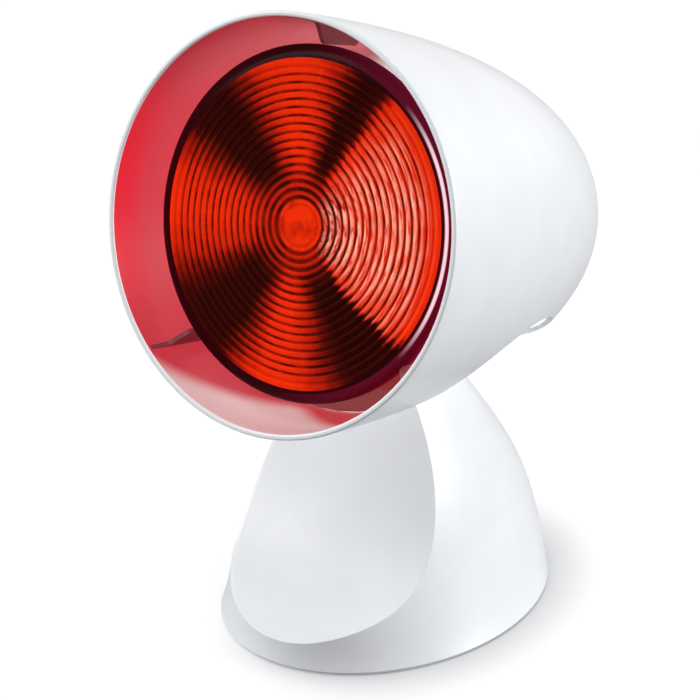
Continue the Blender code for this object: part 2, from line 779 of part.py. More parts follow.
def build_switch():
    bezel = block("switch_body", (BEZEL_WIDTH, BEZEL_HEIGHT, BEZEL_THICK), SWITCH, DARK_PLASTIC,
                  at=(0, 0, BEZEL_THICK / 2 - SEAT_DEPTH + GAP))
    depth = SWITCH_DEEP + SEAT_DEPTH
    add(bezel, block("switch_core", (SWITCH_WIDTH, SWITCH_TALL, depth), SWITCH,
                     at=(0, 0, BEZEL_THICK / 2 - SEAT_DEPTH + GAP - depth / 2)))
    well = ROCKER_TALL / 2 + SEAT_DEPTH
    cut(bezel, block("rocker_well", (ROCKER_WIDTH + 2 * GAP, ROCKER_TALL + 2 * ROCKER_PLAY, 2 * well), SWITCH))
    outline = [
        (-ROCKER_TALL / 2, 0),
        (-ROCKER_TALL * 0.3, -ROCKER_TALL * 0.3),
        (ROCKER_TALL * 0.3, -ROCKER_TALL * 0.3),
        (ROCKER_TALL / 2, 0),
        (ROCKER_TALL / 2, ROCKER_PROUD * 1.6),
        (0, ROCKER_PROUD),
        (-ROCKER_TALL / 2, ROCKER_PROUD),
    ]
    return plate("switch_rocker", outline, ROCKER_WIDTH, ROCKER, BLACK_PLASTIC,
                 turn=(math.pi / 2, 0, math.pi / 2))


def build_inlet():
    outline = [
        (INLET_RADIUS, INLET_LIP * 0.6),
        (INLET_RADIUS, 0),
        (INLET_NECK, 0),
        (INLET_NECK, -SEAT_DEPTH - SEAT_BACKING),
        (INLET_BORE, -SEAT_DEPTH - SEAT_BACKING),
        (INLET_BORE, INLET_LIP),
        (INLET_RADIUS * 0.8, INLET_LIP),
    ]
    bush = turned("cord_inlet", outline, INLET, BLACK_RUBBER)
    bush.location = (0, 0, GAP - SEAT_DEPTH)
    return bush


ROCKER_PLAY = 0.8 * MM
ROCKER_PROUD = 1.6 * MM
ROCKER_PIVOT = 0.6 * MM
ROCKER = empty("rocker_axis", SWITCH, (0, 0, -ROCKER_PIVOT))

# Inside the shade
VENT_COUNT = 12
VENT_WIDTH = 2.6 * MM
VENT_LENGTH = 11 * MM
VENT_RADIUS = 16.5 * MM
FIN_TURNS = (90, 228, 321)
FIN_THICK = 1.6 * MM
FIN_START = 8 * MM
FIN_RISE = 9 * MM
FIN_END = 40 * MM
FIN_SAMPLES = 4
SHADE_POST_TURNS = (90, 210, 330)
SHADE_POST_EDGE = 6 * MM
SHADE_POST_RING = BRACKET_RADIUS - SHADE_POST_EDGE
SHADE_POST_RADIUS = 3.6 * MM


def behind(points):
    """Turn (radius, depth behind the rim) into the shade's own (radius, height)."""
    return [(r, -s) for r, s in points]


def post_places():
    turns = [math.radians(turn) for turn in SHADE_POST_TURNS]
    return [(SHADE_POST_RING * math.cos(turn), SHADE_POST_RING * math.sin(turn)) for turn in turns]


def build_shade():
    outer = shade_line()[1:]
    inner = inner_line(SHADE_WALL)[1:]
    lip = arc((RIM_RADIUS - RIM_ROUND, RIM_ROUND), RIM_ROUND, -90, 0, 3)
    mouth = arc((SHADE_INNER + RIM_ROUND, RIM_ROUND), RIM_ROUND, 180, 270, 3)
    outline = list(reversed(inner)) + mouth + lip + outer
    shade = turned("head_shell", behind(outline), HEAD, WHITE_PLASTIC, SHADE_STEPS, closed=False)
    for i, turn in enumerate(FIN_TURNS):
        add(shade, fin(i, math.radians(turn)))
    wall = SHADE_DEPTH - SINK
    pillars = post_places()
    columns = posts("shade_posts", SHADE_POST_RADIUS, -wall, -BRACKET_BACK - GAP, pillars, HEAD)
    add(shade, keep_inside(columns, shade_space("post_space", SINK)))
    cut(shade, posts("shade_pilots", SCREW_PILOT, -BRACKET_BACK - SCREW_LENGTH, 0, pillars, HEAD))
    cut(shade, rod("arch_tool", ARCH_RADIUS, 3 * RIM_RADIUS, ARCH, turn=(0, math.pi / 2, 0), sides=ARCH_SIDES))
    cut(shade, vent_tool())
    return shade


def fin(index, turn):
    """One thin rib that centres the bulb: it rises from the wall in a curve up to the bead."""
    crest = BULB_RADIUS + GAP
    outline = []
    for k in range(FIN_SAMPLES + 1):
        depth = FIN_START + FIN_RISE * k / FIN_SAMPLES
        root = inner_radius(depth, SHADE_WALL / 2)
        outline.append((root + (crest - root) * math.sin(math.pi / 2 * k / FIN_SAMPLES) ** 2, depth))
    outline += [(crest, FIN_END - FIN_RISE), (inner_radius(FIN_END, SHADE_WALL / 2), FIN_END)]
    return plate("fin_%d" % index, behind(outline), FIN_THICK, HEAD, turn=(math.pi / 2, 0, turn))


def shade_space(name, wall, look=None):
    """The solid that just fills the shade up to a distance from its outer face."""
    return turned(name, behind([(0, 0)] + inner_line(wall)), HEAD, look, SHADE_STEPS, closed=False)


def vent_tool():
    source = plate("vent_pattern", rounded_slot(VENT_LENGTH, VENT_WIDTH), 4 * OVERRUN, HEAD)
    places = []
    for i in range(VENT_COUNT):
        turn = Matrix.Rotation(2 * math.pi * (i + 0.5) / VENT_COUNT, 4, "Z")
        places.append(turn @ Matrix.Translation((VENT_RADIUS, 0, -SHADE_DEPTH)))
    return copies("vent_tool", source, places, HEAD)


def rounded_slot(length, width):
    radius = width / 2
    straight = length / 2 - radius
    return arc((straight, 0), radius, -90, 90, 3) + arc((-straight, 0), radius, 90, 270, 3)


# The saddle that carries the shade on the neck: a curved sheet over the arch and a tongue below it
TONGUE_BASE = 11 * MM
TAB_TURN = math.radians(46)
TAB_HALF = 9 * MM
TAB_REACH = 8
TAB_STEPS = 5
TAB_SCREW_SPREAD = 5 * MM
TAB_SCREW_END = 2 * MM
LEAD_TURN = 52
LEAD_SIDE = 16 * MM
SHEET_OUTER = ARCH_RADIUS + SADDLE_THICK
ACROSS = (math.pi / 2, 0, math.pi / 2)
SHEET_STEPS = 24
SHEET_SPAN = (-25, 205)
TAB = empty(
    "tab_seat",
    ARCH,
    (0, SHEET_OUTER * math.cos(TAB_TURN), SHEET_OUTER * math.sin(TAB_TURN)),
    (TAB_TURN - math.pi / 2, 0, 0),
)


def sheet(name, inner, outer, width, start, end, parent=ARCH):
    """Part of a tube round the arch's axis."""
    outline = arc((0, 0), outer, start, end, SHEET_STEPS) + arc((0, 0), inner, end, start, SHEET_STEPS)
    return plate(name, outline, width, parent, turn=ACROSS)


def on_arch(radius, turn):
    """A place over the arch in the shade's own height and depth."""
    y = HINGE_BACK + ARCH_BACK + radius * math.cos(turn) + RIM_FORWARD
    z = HINGE_HEIGHT - ARCH_DROP + radius * math.sin(turn) - RIM_HEIGHT
    up = y * math.sin(SHADE_TILT) + z * math.cos(SHADE_TILT)
    depth = y * math.cos(SHADE_TILT) - z * math.sin(SHADE_TILT)
    return up, depth


def from_head(up, depth):
    """The same place seen from the arch's axis."""
    y = up * math.sin(SHADE_TILT) + depth * math.cos(SHADE_TILT) - RIM_FORWARD
    z = up * math.cos(SHADE_TILT) - depth * math.sin(SHADE_TILT) + RIM_HEIGHT
    return y - HINGE_BACK - ARCH_BACK, z - HINGE_HEIGHT + ARCH_DROP


def build_saddle():
    saddle = shade_space("hinge_saddle", SHADE_WALL + GAP, PRESSED_STEEL)
    keep_inside(saddle, sheet("saddle_sheet", ARCH_RADIUS, SHEET_OUTER, 3 * RIM_RADIUS, *SHEET_SPAN))
    add(saddle, tongue())
    spots = [(side * TAB_SCREW_SPREAD, 0) for side in (-1, 1)]
    cut(saddle, rod("eye_tool", AXLE_RADIUS + GAP, 4 * TONGUE_HALF, HINGE, turn=(0, math.pi / 2, 0)))
    cut(saddle, posts("tab_pilots", SCREW_PILOT, -OVERRUN, OVERRUN, spots, TAB))
    turn = math.radians(LEAD_TURN)
    cut(saddle, rod("lead_pass", LEAD_HOLE, 2 * OVERRUN, ARCH,
                    at=(LEAD_SIDE, ARCH_RADIUS * math.cos(turn), ARCH_RADIUS * math.sin(turn)),
                    turn=(turn - math.pi / 2, 0, 0)))
    return saddle


def tongue():
    """The flat tongue that drops from the sheet to the eye on the axle."""
    rise = ARCH_RADIUS - ARCH_DROP + SADDLE_THICK / 2
    outline = arc((0, 0), EYE_RADIUS, 180, 360, 12)
    outline += [(TONGUE_BASE + ARCH_BACK, rise - SADDLE_THICK), (-TONGUE_BASE + ARCH_BACK, rise - SADDLE_THICK)]
    return plate("tongue", outline, 2 * TONGUE_HALF, HINGE, turn=ACROSS)


def strip(line, thickness):
    """A band of even thickness along a line of points."""
    return shifted(line, thickness / 2) + list(reversed(shifted(line, -thickness / 2)))


SOCKET_SCREW_SPREAD = 9 * MM
DISC_HOLE = 4 * MM
LEAD_WAY = LEAD_HOLE + 2 * GAP
LEAD_REACH = BRACKET_RADIUS - BRACKET_THICK - LEAD_WAY
LEAD_LOW = math.sqrt(LEAD_REACH**2 - LEAD_SIDE**2)


def build_bracket():
    pillars = post_places()
    sockets = [(side * SOCKET_SCREW_SPREAD, 0) for side in (-1, 1)]
    disc = rod("socket_bracket", BRACKET_RADIUS, BRACKET_THICK, HEAD, BRIGHT_STEEL,
               at=(0, 0, -(BRACKET_FRONT + BRACKET_BACK) / 2), sides=40)
    middle = SHEET_OUTER + GAP + BRACKET_THICK / 2
    turn = math.degrees(TAB_TURN)
    foot = arc((0, 0), middle, turn + TAB_REACH, turn - TAB_REACH, TAB_STEPS)
    end = from_head(-BRACKET_RADIUS + 2 * BRACKET_THICK, (BRACKET_FRONT + BRACKET_BACK) / 2)
    strap = plate("bracket_strap", strip(foot + [end], BRACKET_THICK), 2 * TAB_HALF, ARCH, turn=ACROSS)
    spots = [(side * TAB_SCREW_SPREAD, 0) for side in (-1, 1)]
    add(disc, strap)
    cut(disc, posts("strap_tool", SCREW_PILOT, -OVERRUN, OVERRUN, spots, TAB))
    cut(disc, posts("disc_holes", SCREW_PILOT, -SHADE_DEPTH, -SOCKET_FRONT, pillars + sockets, HEAD))
    cut(disc, rod("lead_hole", DISC_HOLE, SHADE_DEPTH, HEAD, at=(0, 0, -SHADE_DEPTH)))
    cut(disc, rod("lead_way", LEAD_WAY, SHADE_DEPTH, HEAD, at=(LEAD_SIDE, -LEAD_LOW, -SHADE_DEPTH)))
    flat = Matrix.Translation((0, 0, -BRACKET_FRONT + GAP))
    columns = [flat @ Matrix.Translation((x, y, 0)) for x, y in pillars]
    screws("bracket_screw", SCREW_LENGTH, columns, HEAD, BRIGHT_STEEL)
    below = Matrix.Translation((0, 0, -SADDLE_THICK - GAP)) @ Matrix.Rotation(math.pi, 4, "X")
    tabs = [Matrix.Translation((x, y, 0)) @ below for x, y in spots]
    screws("saddle_screw", SADDLE_THICK + BRACKET_THICK + 2 * GAP + TAB_SCREW_END, tabs, TAB, BRIGHT_STEEL)
    under = Matrix.Translation((0, 0, -BRACKET_BACK - GAP)) @ Matrix.Rotation(math.pi, 4, "X")
    socket = [Matrix.Translation((x, y, 0)) @ under for x, y in sockets]
    screws("socket_screw", SCREW_LENGTH, socket, HEAD, BRIGHT_STEEL)
    return disc


THREAD_SHELL = 0.8 * MM
THREAD_INNER = CAP_RADIUS + GAP
SOCKET_BORE = THREAD_INNER + THREAD_SHELL + GAP
SOCKET_TAIL_RADIUS = 17.5 * MM
SOCKET_STEP = 24 * MM
SOCKET_CHAMFER = 1.2 * MM
CONTACT_RADIUS = 4 * MM
INSULATOR_LENGTH = 3 * MM
TIP_RADIUS = 4.5 * MM
TIP_LENGTH = 1.5 * MM
CAP_START = SOCKET_FRONT
CAP_END = CAP_START + CAP_LENGTH
TIP_START = CAP_END + GAP + INSULATOR_LENGTH + GAP
TIP_END = TIP_START + TIP_LENGTH


def build_socket():
    step = SOCKET_FRONT + SOCKET_STEP
    outline = [
        (0, SOCKET_FLOOR),
        (SOCKET_BORE, SOCKET_FLOOR),
        (SOCKET_BORE, SOCKET_FRONT),
        (SOCKET_RADIUS - SOCKET_CHAMFER, SOCKET_FRONT),
        (SOCKET_RADIUS, SOCKET_FRONT + SOCKET_CHAMFER),
        (SOCKET_RADIUS, step),
        (SOCKET_TAIL_RADIUS, step + SOCKET_RADIUS - SOCKET_TAIL_RADIUS),
        (SOCKET_TAIL_RADIUS, SOCKET_BACK),
        (0, SOCKET_BACK),
    ]
    socket = turned("lamp_socket", behind(outline), HEAD, PORCELAIN, 32, closed=False)
    spots = [(side * SOCKET_SCREW_SPREAD, 0) for side in (-1, 1)]
    depth = SOCKET_BACK - SCREW_LENGTH + BRACKET_THICK
    cut(socket, posts("socket_pilots", SCREW_PILOT, -SOCKET_BACK - OVERRUN, -depth, spots, HEAD))
    front = SOCKET_FRONT + SOCKET_CHAMFER
    floor = SOCKET_FLOOR - GAP
    ring = [
        (THREAD_INNER + THREAD_SHELL, front),
        (THREAD_INNER + THREAD_SHELL, floor),
        (TIP_RADIUS + 2 * THREAD_SHELL, floor),
        (TIP_RADIUS + 2 * THREAD_SHELL, floor - THREAD_SHELL),
        (THREAD_INNER, floor - THREAD_SHELL),
        (THREAD_INNER, front),
    ]
    turned("socket_thread", behind(ring), HEAD, BRASS, 24)
    top = TIP_END + GAP
    contact = [(0, top), (CONTACT_RADIUS * 0.7, top), (CONTACT_RADIUS, floor), (0, floor)]
    turned("socket_contact", behind(contact), HEAD, BRASS, closed=False)


def build_head_lead():
    turn = math.radians(LEAD_TURN)
    over_up, over_depth = on_arch(SHEET_OUTER + 2 * LEAD_RADIUS, turn)
    end_up, end_depth = on_arch(ARCH_RADIUS, turn)
    low = -LEAD_LOW
    back = BRACKET_BACK + GAP
    route = [
        (0, 0, -SOCKET_BACK - GAP),
        (0, 0, -back - 2 * LEAD_RADIUS),
        (LEAD_SIDE * 0.6, low * 0.25, -back - 5 * LEAD_RADIUS),
        (LEAD_SIDE, low * 0.7, -back - 4 * LEAD_RADIUS),
        (LEAD_SIDE, low, -back - LEAD_RADIUS),
        (LEAD_SIDE, low, -BRACKET_FRONT + 3 * LEAD_RADIUS),
        (LEAD_SIDE, over_up, -over_depth),
        (LEAD_SIDE, end_up, -end_depth),
    ]
    wire("socket_lead", route, LEAD_RADIUS, HEAD, GLASS_SLEEVE, 4)


# Bulb: a ringed lens on a mirrored cone, with a screw cap behind
RING_COUNT = 14
RING_HEIGHT = 0.5 * MM
CENTRE_DISC = 9.5 * MM
BEAD_SEAT_SHARE = 1.6
REFLECTOR_RIM = BULB_RADIUS - BEAD_SEAT_SHARE * BEAD_ROUND
REFLECTOR_FRONT = BEAD_DEPTH + BEAD_ROUND + GAP
NECK_TAPER = 5.5 * MM
CAP_WALL = 0.8 * MM
CAP_RIBS = 5
CAP_GROOVE = 0.7 * MM
STEM_RADIUS = 4 * MM
STEM_LENGTH = 34 * MM
STEM_FLARE = 9.6 * MM
COIL_RING = 9 * MM
COIL_RADIUS = 0.7 * MM
COIL_DEPTH = 52 * MM
SUPPORT_RADIUS = 0.5 * MM


def build_lens():
    centre = (BULB_RADIUS - BEAD_ROUND, BEAD_DEPTH)
    front = [(0, lens_depth(0)), (CENTRE_DISC * 0.85, lens_depth(CENTRE_DISC * 0.85))]
    pitch = (LENS_RADIUS - CENTRE_DISC) / RING_COUNT
    for i in range(RING_COUNT):
        low = CENTRE_DISC + pitch * i
        crest = low + pitch / 2
        front += [(low, lens_depth(low)), (crest, lens_depth(crest) - RING_HEIGHT)]
    bead = [(x, 2 * BEAD_DEPTH - y) for x, y in arc(centre, BEAD_ROUND, 180, -90, 8)]
    back = [(r, lens_depth(r) + GLASS_WALL) for r in (LENS_RADIUS * k / 4 for k in (4, 3, 2, 1, 0))]
    back[0] = (LENS_RADIUS - GLASS_WALL, BEAD_DEPTH + BEAD_ROUND)
    outline = front + bead + back
    return turned("bulb_lens", behind(outline), BULB, RED_GLASS, BULB_STEPS, closed=False)


def lens_depth(radius):
    return BEAD_DEPTH - LENS_RISE * (1 - (radius / LENS_RADIUS) ** 2)


def cone_line(rim, neck, count):
    """A parabola from the rim to the neck, closing at the reflector's depth."""
    depth = REFLECTOR_DEPTH * (1 - (neck / rim) ** 2)
    steps = [depth * (i / count) ** 0.8 for i in range(count + 1)]
    return [(rim * math.sqrt(1 - d / REFLECTOR_DEPTH), REFLECTOR_FRONT + d) for d in steps]


def build_reflector():
    outer = cone_line(REFLECTOR_RIM, BULB_NECK_RADIUS, 7)
    outer += [(BULB_NECK_RADIUS, NECK_END - NECK_TAPER), (CAP_RADIUS - CAP_GROOVE, NECK_END)]
    inner = cone_line(REFLECTOR_RIM - GLASS_WALL, BULB_NECK_RADIUS - GLASS_WALL, 5)
    inner += [(BULB_NECK_RADIUS - GLASS_WALL, NECK_END - NECK_TAPER),
              (CAP_RADIUS - CAP_GROOVE - GLASS_WALL, NECK_END)]
    outline = outer + list(reversed(inner))
    return turned("bulb_reflector", behind(outline), BULB, MIRROR, BULB_STEPS)


def build_cap():
    pitch = (CAP_LENGTH - 2 * CAP_WALL) / CAP_RIBS
    outer = [(CAP_RADIUS - CAP_GROOVE, CAP_START)]
    for i in range(CAP_RIBS):
        top = CAP_START + CAP_WALL + pitch * i
        outer += [(CAP_RADIUS - CAP_GROOVE, top), (CAP_RADIUS, top + pitch / 2)]
    outer += [(CAP_RADIUS - CAP_GROOVE, CAP_END - CAP_WALL), (CAP_RADIUS - 2 * CAP_WALL, CAP_END)]
    inner = CAP_RADIUS - CAP_GROOVE - CAP_WALL
    ring = outer + [(inner - CAP_WALL, CAP_END), (inner - CAP_WALL, CAP_START)]
    turned("bulb_cap", behind(ring), BULB, BRIGHT_STEEL, 24)
    start = CAP_END + GAP
    cone = [(0, start), (CAP_RADIUS - 2 * CAP_WALL, start), (TIP_RADIUS, start + INSULATOR_LENGTH),
            (0, start + INSULATOR_LENGTH)]
    turned("cap_insulator", behind(cone), BULB, BLACK_GLASS, closed=False)
    tip = [(0, TIP_START), (TIP_RADIUS, TIP_START), (TIP_RADIUS * 0.6, TIP_END), (0, TIP_END)]
    turned("bulb_contact", behind(tip), BULB, BRIGHT_STEEL, closed=False)


def build_filament():
    top = NECK_END - STEM_LENGTH
    stem = [(0, top), (STEM_RADIUS, top), (STEM_RADIUS, NECK_END - 2 * NECK_TAPER), (STEM_FLARE, NECK_END - GAP),
            (0, NECK_END - GAP)]
    turned("glass_stem", behind(stem), BULB, CLEAR_GLASS, closed=False)
    coil = [(COIL_RING * math.cos(math.radians(a)), COIL_RING * math.sin(math.radians(a)), -COIL_DEPTH)
            for a in range(-10, 311, 20)]
    wire("filament", coil, COIL_RADIUS, BULB, TUNGSTEN, 2)
    foot = (STEM_RADIUS * 0.6, 0, -top + GAP)
    head = (COIL_RING, 0, -COIL_DEPTH - COIL_RADIUS - 2 * GAP)
    leg = wire("leg_pattern", [foot, head], SUPPORT_RADIUS, BULB, None, 2)
    places = [Matrix.Rotation(turn, 4, "Z") for turn in (0, math.pi)]
    copies("filament_support", leg, places, BULB, BRIGHT_STEEL)


def build():
    smooth(build_housing())
    smooth(build_front_cover())
    build_base_plate()
    build_base_fittings()
    build_hinge()
    build_switch()
    build_inlet()
    build_shade()
    build_saddle()
    build_bracket()
    build_socket()
    build_head_lead()
    build_lens()
    build_reflector()
    build_cap()
    build_filament()


build()
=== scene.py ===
# %% [markdown]
# An infrared heat lamp: a bell-shaped white shade that tilts on the neck of an oval foot, with a
# ringed red bulb set back in its mouth. The packed CAD model gives every size and place, so each
# piece made here is built straight into its frame: metres, +Z up, the mouth looks towards -Y.

# %% Load the fixed frame
import json
import math

import bmesh
import bpy
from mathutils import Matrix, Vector
from mathutils.geometry import interpolate_bezier


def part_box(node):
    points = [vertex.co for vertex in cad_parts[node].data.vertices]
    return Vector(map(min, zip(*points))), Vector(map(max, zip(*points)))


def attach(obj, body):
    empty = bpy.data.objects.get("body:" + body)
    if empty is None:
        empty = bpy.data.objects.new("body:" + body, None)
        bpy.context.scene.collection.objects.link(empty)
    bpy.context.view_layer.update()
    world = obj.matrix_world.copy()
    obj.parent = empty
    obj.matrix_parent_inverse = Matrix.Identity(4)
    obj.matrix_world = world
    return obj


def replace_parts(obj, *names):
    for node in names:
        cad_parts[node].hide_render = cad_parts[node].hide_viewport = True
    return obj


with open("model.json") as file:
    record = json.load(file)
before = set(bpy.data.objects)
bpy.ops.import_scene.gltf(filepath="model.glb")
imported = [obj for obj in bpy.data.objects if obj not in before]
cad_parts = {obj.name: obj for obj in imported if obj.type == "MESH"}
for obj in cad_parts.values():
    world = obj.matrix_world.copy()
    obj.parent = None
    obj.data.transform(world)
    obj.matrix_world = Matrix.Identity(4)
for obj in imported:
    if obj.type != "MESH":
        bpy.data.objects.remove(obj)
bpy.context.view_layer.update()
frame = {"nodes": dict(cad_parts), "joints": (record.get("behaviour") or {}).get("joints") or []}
MM = 0.001


def in_mm(*lengths):
    return [round(length / MM, 1) for length in lengths]


# %% [markdown]
# The joints already know the two lines that matter: the tilt axis in the neck, and the bulb's axis,
# along which the bulb unscrews. The rubber feet stand in a rectangle round the middle of the foot.

# %% Read the main lines from the frame
JOINTS = {joint["name"]: joint for joint in frame["joints"]}
FORWARD = Vector(JOINTS["bulb_unscrew"]["axis"])
HINGE = Vector(JOINTS["head_tilt"]["pos_m"])
TILT = math.asin(FORWARD.z)
FEET = [sum(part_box("rubber_foot_%d" % i), Vector()) / 2 for i in (1, 2, 3, 4)]
FOOT_MIDDLE = sum(middle.y for middle in FEET) / len(FEET)
print("bulb axis rises", round(math.degrees(TILT), 1), "degrees")
print("tilt axis in mm:", in_mm(*HINGE), "and middle of the foot:", in_mm(FOOT_MIDDLE))

# %% [markdown]
# ## Seats
# Each sub-part is easiest to draw round its own axis. An empty on that axis rides on the CAD body,
# the shape is drawn under it in simple coordinates, and materials can measure from it too.

# %% Seats on the bodies
RIM_HEIGHT = 162.8 * MM
RIM_FORWARD = 67.9 * MM
ARCH_BACK = 1.5 * MM
ARCH_DROP = 29.2 * MM


def add_object(name, data=None, parent=None):
    obj = bpy.data.objects.new(name, data)
    bpy.context.scene.collection.objects.link(obj)
    obj.parent = parent
    return obj


def place(obj, location=(0, 0, 0), rotation=(0, 0, 0)):
    obj.location = location
    obj.rotation_euler = rotation
    return obj


def seat(name, body, location, rotation=(0, 0, 0)):
    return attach(place(add_object(name), location, rotation), body)


RIM_PLACE = (0, FOOT_MIDDLE - RIM_FORWARD, RIM_HEIGHT), (math.pi / 2 - TILT, 0, 0)
rim = seat("rim_centre", "head", *RIM_PLACE)
bulb_axis = seat("bulb_axis", "bulb", *RIM_PLACE)
arch = seat("arch_axis", "head", (0, HINGE.y + ARCH_BACK, HINGE.z - ARCH_DROP))
foot = seat("foot_centre", "base", (0, FOOT_MIDDLE, 0))
neck = seat("tilt_axis", "base", HINGE)
print("rim centre in mm:", in_mm(*rim.location), "and arch axis:", in_mm(*arch.location))

# %% [markdown]
# ## Camera
# The photograph was taken from the lamp's left front and a little above, through a long lens. The
# camera stands on a sphere round its aim point, so a few real sizes and two angles place it.

# %% Camera
CAMERA_AZIMUTH = 35.41
CAMERA_ELEVATION = 22.12
CAMERA_DISTANCE = 799.9 * MM
CAMERA_LENS = 113.14
SENSOR = 36
AIM = Vector((-11.33 * MM, FOOT_MIDDLE - 8.05 * MM, 96.7 * MM))


def on_sphere(azimuth, elevation, distance):
    """A place round the aim point, seen along an azimuth and an elevation in degrees."""
    turn, rise = math.radians(azimuth), math.radians(elevation)
    flat = math.cos(rise)
    return AIM + distance * Vector((math.sin(turn) * flat, -math.cos(turn) * flat, math.sin(rise)))


def aim_at(obj, target):
    obj.rotation_euler = (target - obj.location).to_track_quat("-Z", "Y").to_euler()


camera = add_object("camera", bpy.data.cameras.new("camera"))
camera.location = on_sphere(CAMERA_AZIMUTH, CAMERA_ELEVATION, CAMERA_DISTANCE)
aim_at(camera, AIM)
camera.data.lens = CAMERA_LENS
camera.data.sensor_width = SENSOR
bpy.context.scene.camera = camera
bpy.context.scene.view_settings.view_transform = "Standard"
print("camera in mm:", in_mm(*camera.location))


# %% [markdown]
# ## Shader helper
# Node trees are easier to read as arithmetic. One small class wraps a socket, so a mask can be
# written as `1 - mask * 0.5`, and each operator adds its Math node. The reflected forms, such as
# `__rsub__`, serve the sums that start with a plain number.

# %% A socket that does sums
def sum_of(operation, swap=False):
    """A method that adds one Math node."""
    return lambda self, *others: self.math(operation, *others, swap=swap)


class Wave:
    """A number that varies over a surface. Operators add Math nodes to its graph."""

    def __init__(self, graph, socket):
        self.graph = graph
        self.socket = socket

    def math(self, operation, *others, swap=False):
        made = self.graph.node("Math", {"operation": operation})
        terms = (*others, self) if swap else (self, *others)
        for slot, value in zip(made.inputs, terms):
            self.graph.feed(slot, value)
        return Wave(self.graph, made.outputs[0])

    __add__ = __radd__ = sum_of("ADD")
    __sub__, __rsub__ = sum_of("SUBTRACT"), sum_of("SUBTRACT", swap=True)
    __mul__ = __rmul__ = sum_of("MULTIPLY")
    __truediv__ = sum_of("DIVIDE")
    __pow__ = sum_of("POWER")
    sine, fract, size = sum_of("SINE"), sum_of("FRACT"), sum_of("ABSOLUTE")

    def step(self, low, high):
        """0 below low, 1 above high, smooth in between; low above high turns it round."""
        values = {"From Min": low, "From Max": high, "Value": self}
        made = self.graph.node("MapRange", {"interpolation_type": "SMOOTHSTEP"}, values)
        return Wave(self.graph, made.outputs["Result"])

    def between(self, low, high):
        """What runs from 0 to 1, stretched to run from low to high."""
        return low + (high - low) * self


def off_axis(across, up):
    """How far a point lies from the axis that two waves are measured from."""
    return (across * across + up * up) ** 0.5


def turn_of(across, up):
    """Share of a turn from the +X side upwards, which is negative on the lower half."""
    return up.math("ARCTAN2", across) / math.tau


print("a wave can do:", [name for name in vars(Wave) if name[0] != "_"])

# %% [markdown]
# A graph is one node tree. Its `node` method makes any node: settings first, then what its sockets
# take. Colours are written as the 0 to 255 values one reads off a picture and turned into light.

# %% A node tree as a graph
class Graph:
    """The tree of a material, or of the world; the origin is the seat that it measures from."""

    def __init__(self, owner, shader="Principled BSDF", origin=None):
        owner.use_nodes = True
        self.owner = owner
        self.tree = owner.node_tree
        self.shader = self.tree.nodes[shader]
        self.here = self.node("TexCoord", {"object": origin}).outputs["Object"]

    def node(self, kind, settings=None, values=None):
        made = self.tree.nodes.new("ShaderNode" + kind)
        for name, value in (settings or {}).items():
            if name == "stops":
                self.set_stops(made.color_ramp, value)
            else:
                setattr(made, name, value)
        for name, value in (values or {}).items():
            self.feed(made.inputs[name], value)
        return made

    def feed(self, slot, value):
        if isinstance(value, Wave):
            value = value.socket
        if isinstance(value, bpy.types.NodeSocket):
            self.tree.links.new(value, slot)
        elif slot.type == "RGBA":
            slot.default_value = (*value, 1)
        else:
            slot.default_value = value

    def set_stops(self, ramp, stops):
        while len(ramp.elements) < len(stops):
            ramp.elements.new(0.5)
        for element, (position, colour) in zip(ramp.elements, stops):
            element.position = position
            element.color = (*(colour if isinstance(colour, tuple) else [colour] * 3), 1)

    def set(self, name, value):
        self.feed(self.shader.inputs[name], value)

    def axes(self):
        """Place on the surface as three waves, in metres."""
        parts = self.node("SeparateXYZ", None, {0: self.here})
        return [Wave(self, parts.outputs[i]) for i in range(3)]

    def noise(self, per_metre, detail=3.0):
        values = {"Vector": self.here, "Scale": per_metre, "Detail": detail}
        return Wave(self, self.node("TexNoise", None, values).outputs[0])

    def streaks(self, along, across, scale, detail=3.0):
        """Noise on two waves, with a scale for each."""
        stretched = {0: along * scale[0], 1: across * scale[1]}
        flat = self.node("CombineXYZ", None, stretched).outputs[0]
        values = {"Vector": flat, "Scale": 1.0, "Detail": detail}
        return Wave(self, self.node("TexNoise", None, values).outputs[0])

    def mix(self, factor, first, second):
        """Colour that goes from first to second as the factor goes from 0 to 1."""
        values = {0: factor, 6: first, 7: second}
        return self.node("Mix", {"data_type": "RGBA"}, values).outputs[2]

    def ramp(self, factor, stops):
        return self.node("ValToRGB", {"stops": stops}, {0: factor}).outputs["Color"]

    def bump(self, height, depth):
        made = self.node("Bump", None, {"Height": height, "Distance": depth})
        self.set("Normal", made.outputs[0])


print("a graph can do:", [name for name in vars(Graph) if name[0] != "_"])


# %% Colours and finishes
def light_of(*rgb):
    """Linear colour of a picture's 0 to 255 values."""
    shares = [value / 255 for value in rgb]
    return tuple(c / 12.92 if c <= 0.04045 else ((c + 0.055) / 1.055) ** 2.4 for c in shares)


def finish(name, origin=None, **looks):
    """A material's graph with its constant looks set, such as Roughness=0.2 or Coat_Weight=0.5."""
    graph = Graph(bpy.data.materials.new(name), origin=origin)
    for socket, value in looks.items():
        graph.set(socket.replace("_", " "), value)
    return graph


WHITE = light_of(240, 242, 245)
BLACK = (0, 0, 0)
print("white as light:", [round(channel, 3) for channel in WHITE])

# %% [markdown]
# ## Plastics
# Moulded plastic is never perfectly even: the tool leaves a faint orange peel, and handling leaves
# a slight change of gloss. Both are far smaller than a millimetre, so they come from fine noise.

# %% Moulded plastic
PLASTIC_IOR = 1.49
PEEL_PER_METRE = 900
PEEL_DEPTH = 0.006 * MM
SMUDGE_PER_METRE = 45
SMUDGE_EDGES = 0.35, 0.65
SMUDGE_SHADE = 0.97
SMUDGE_GLOSS = 0.06


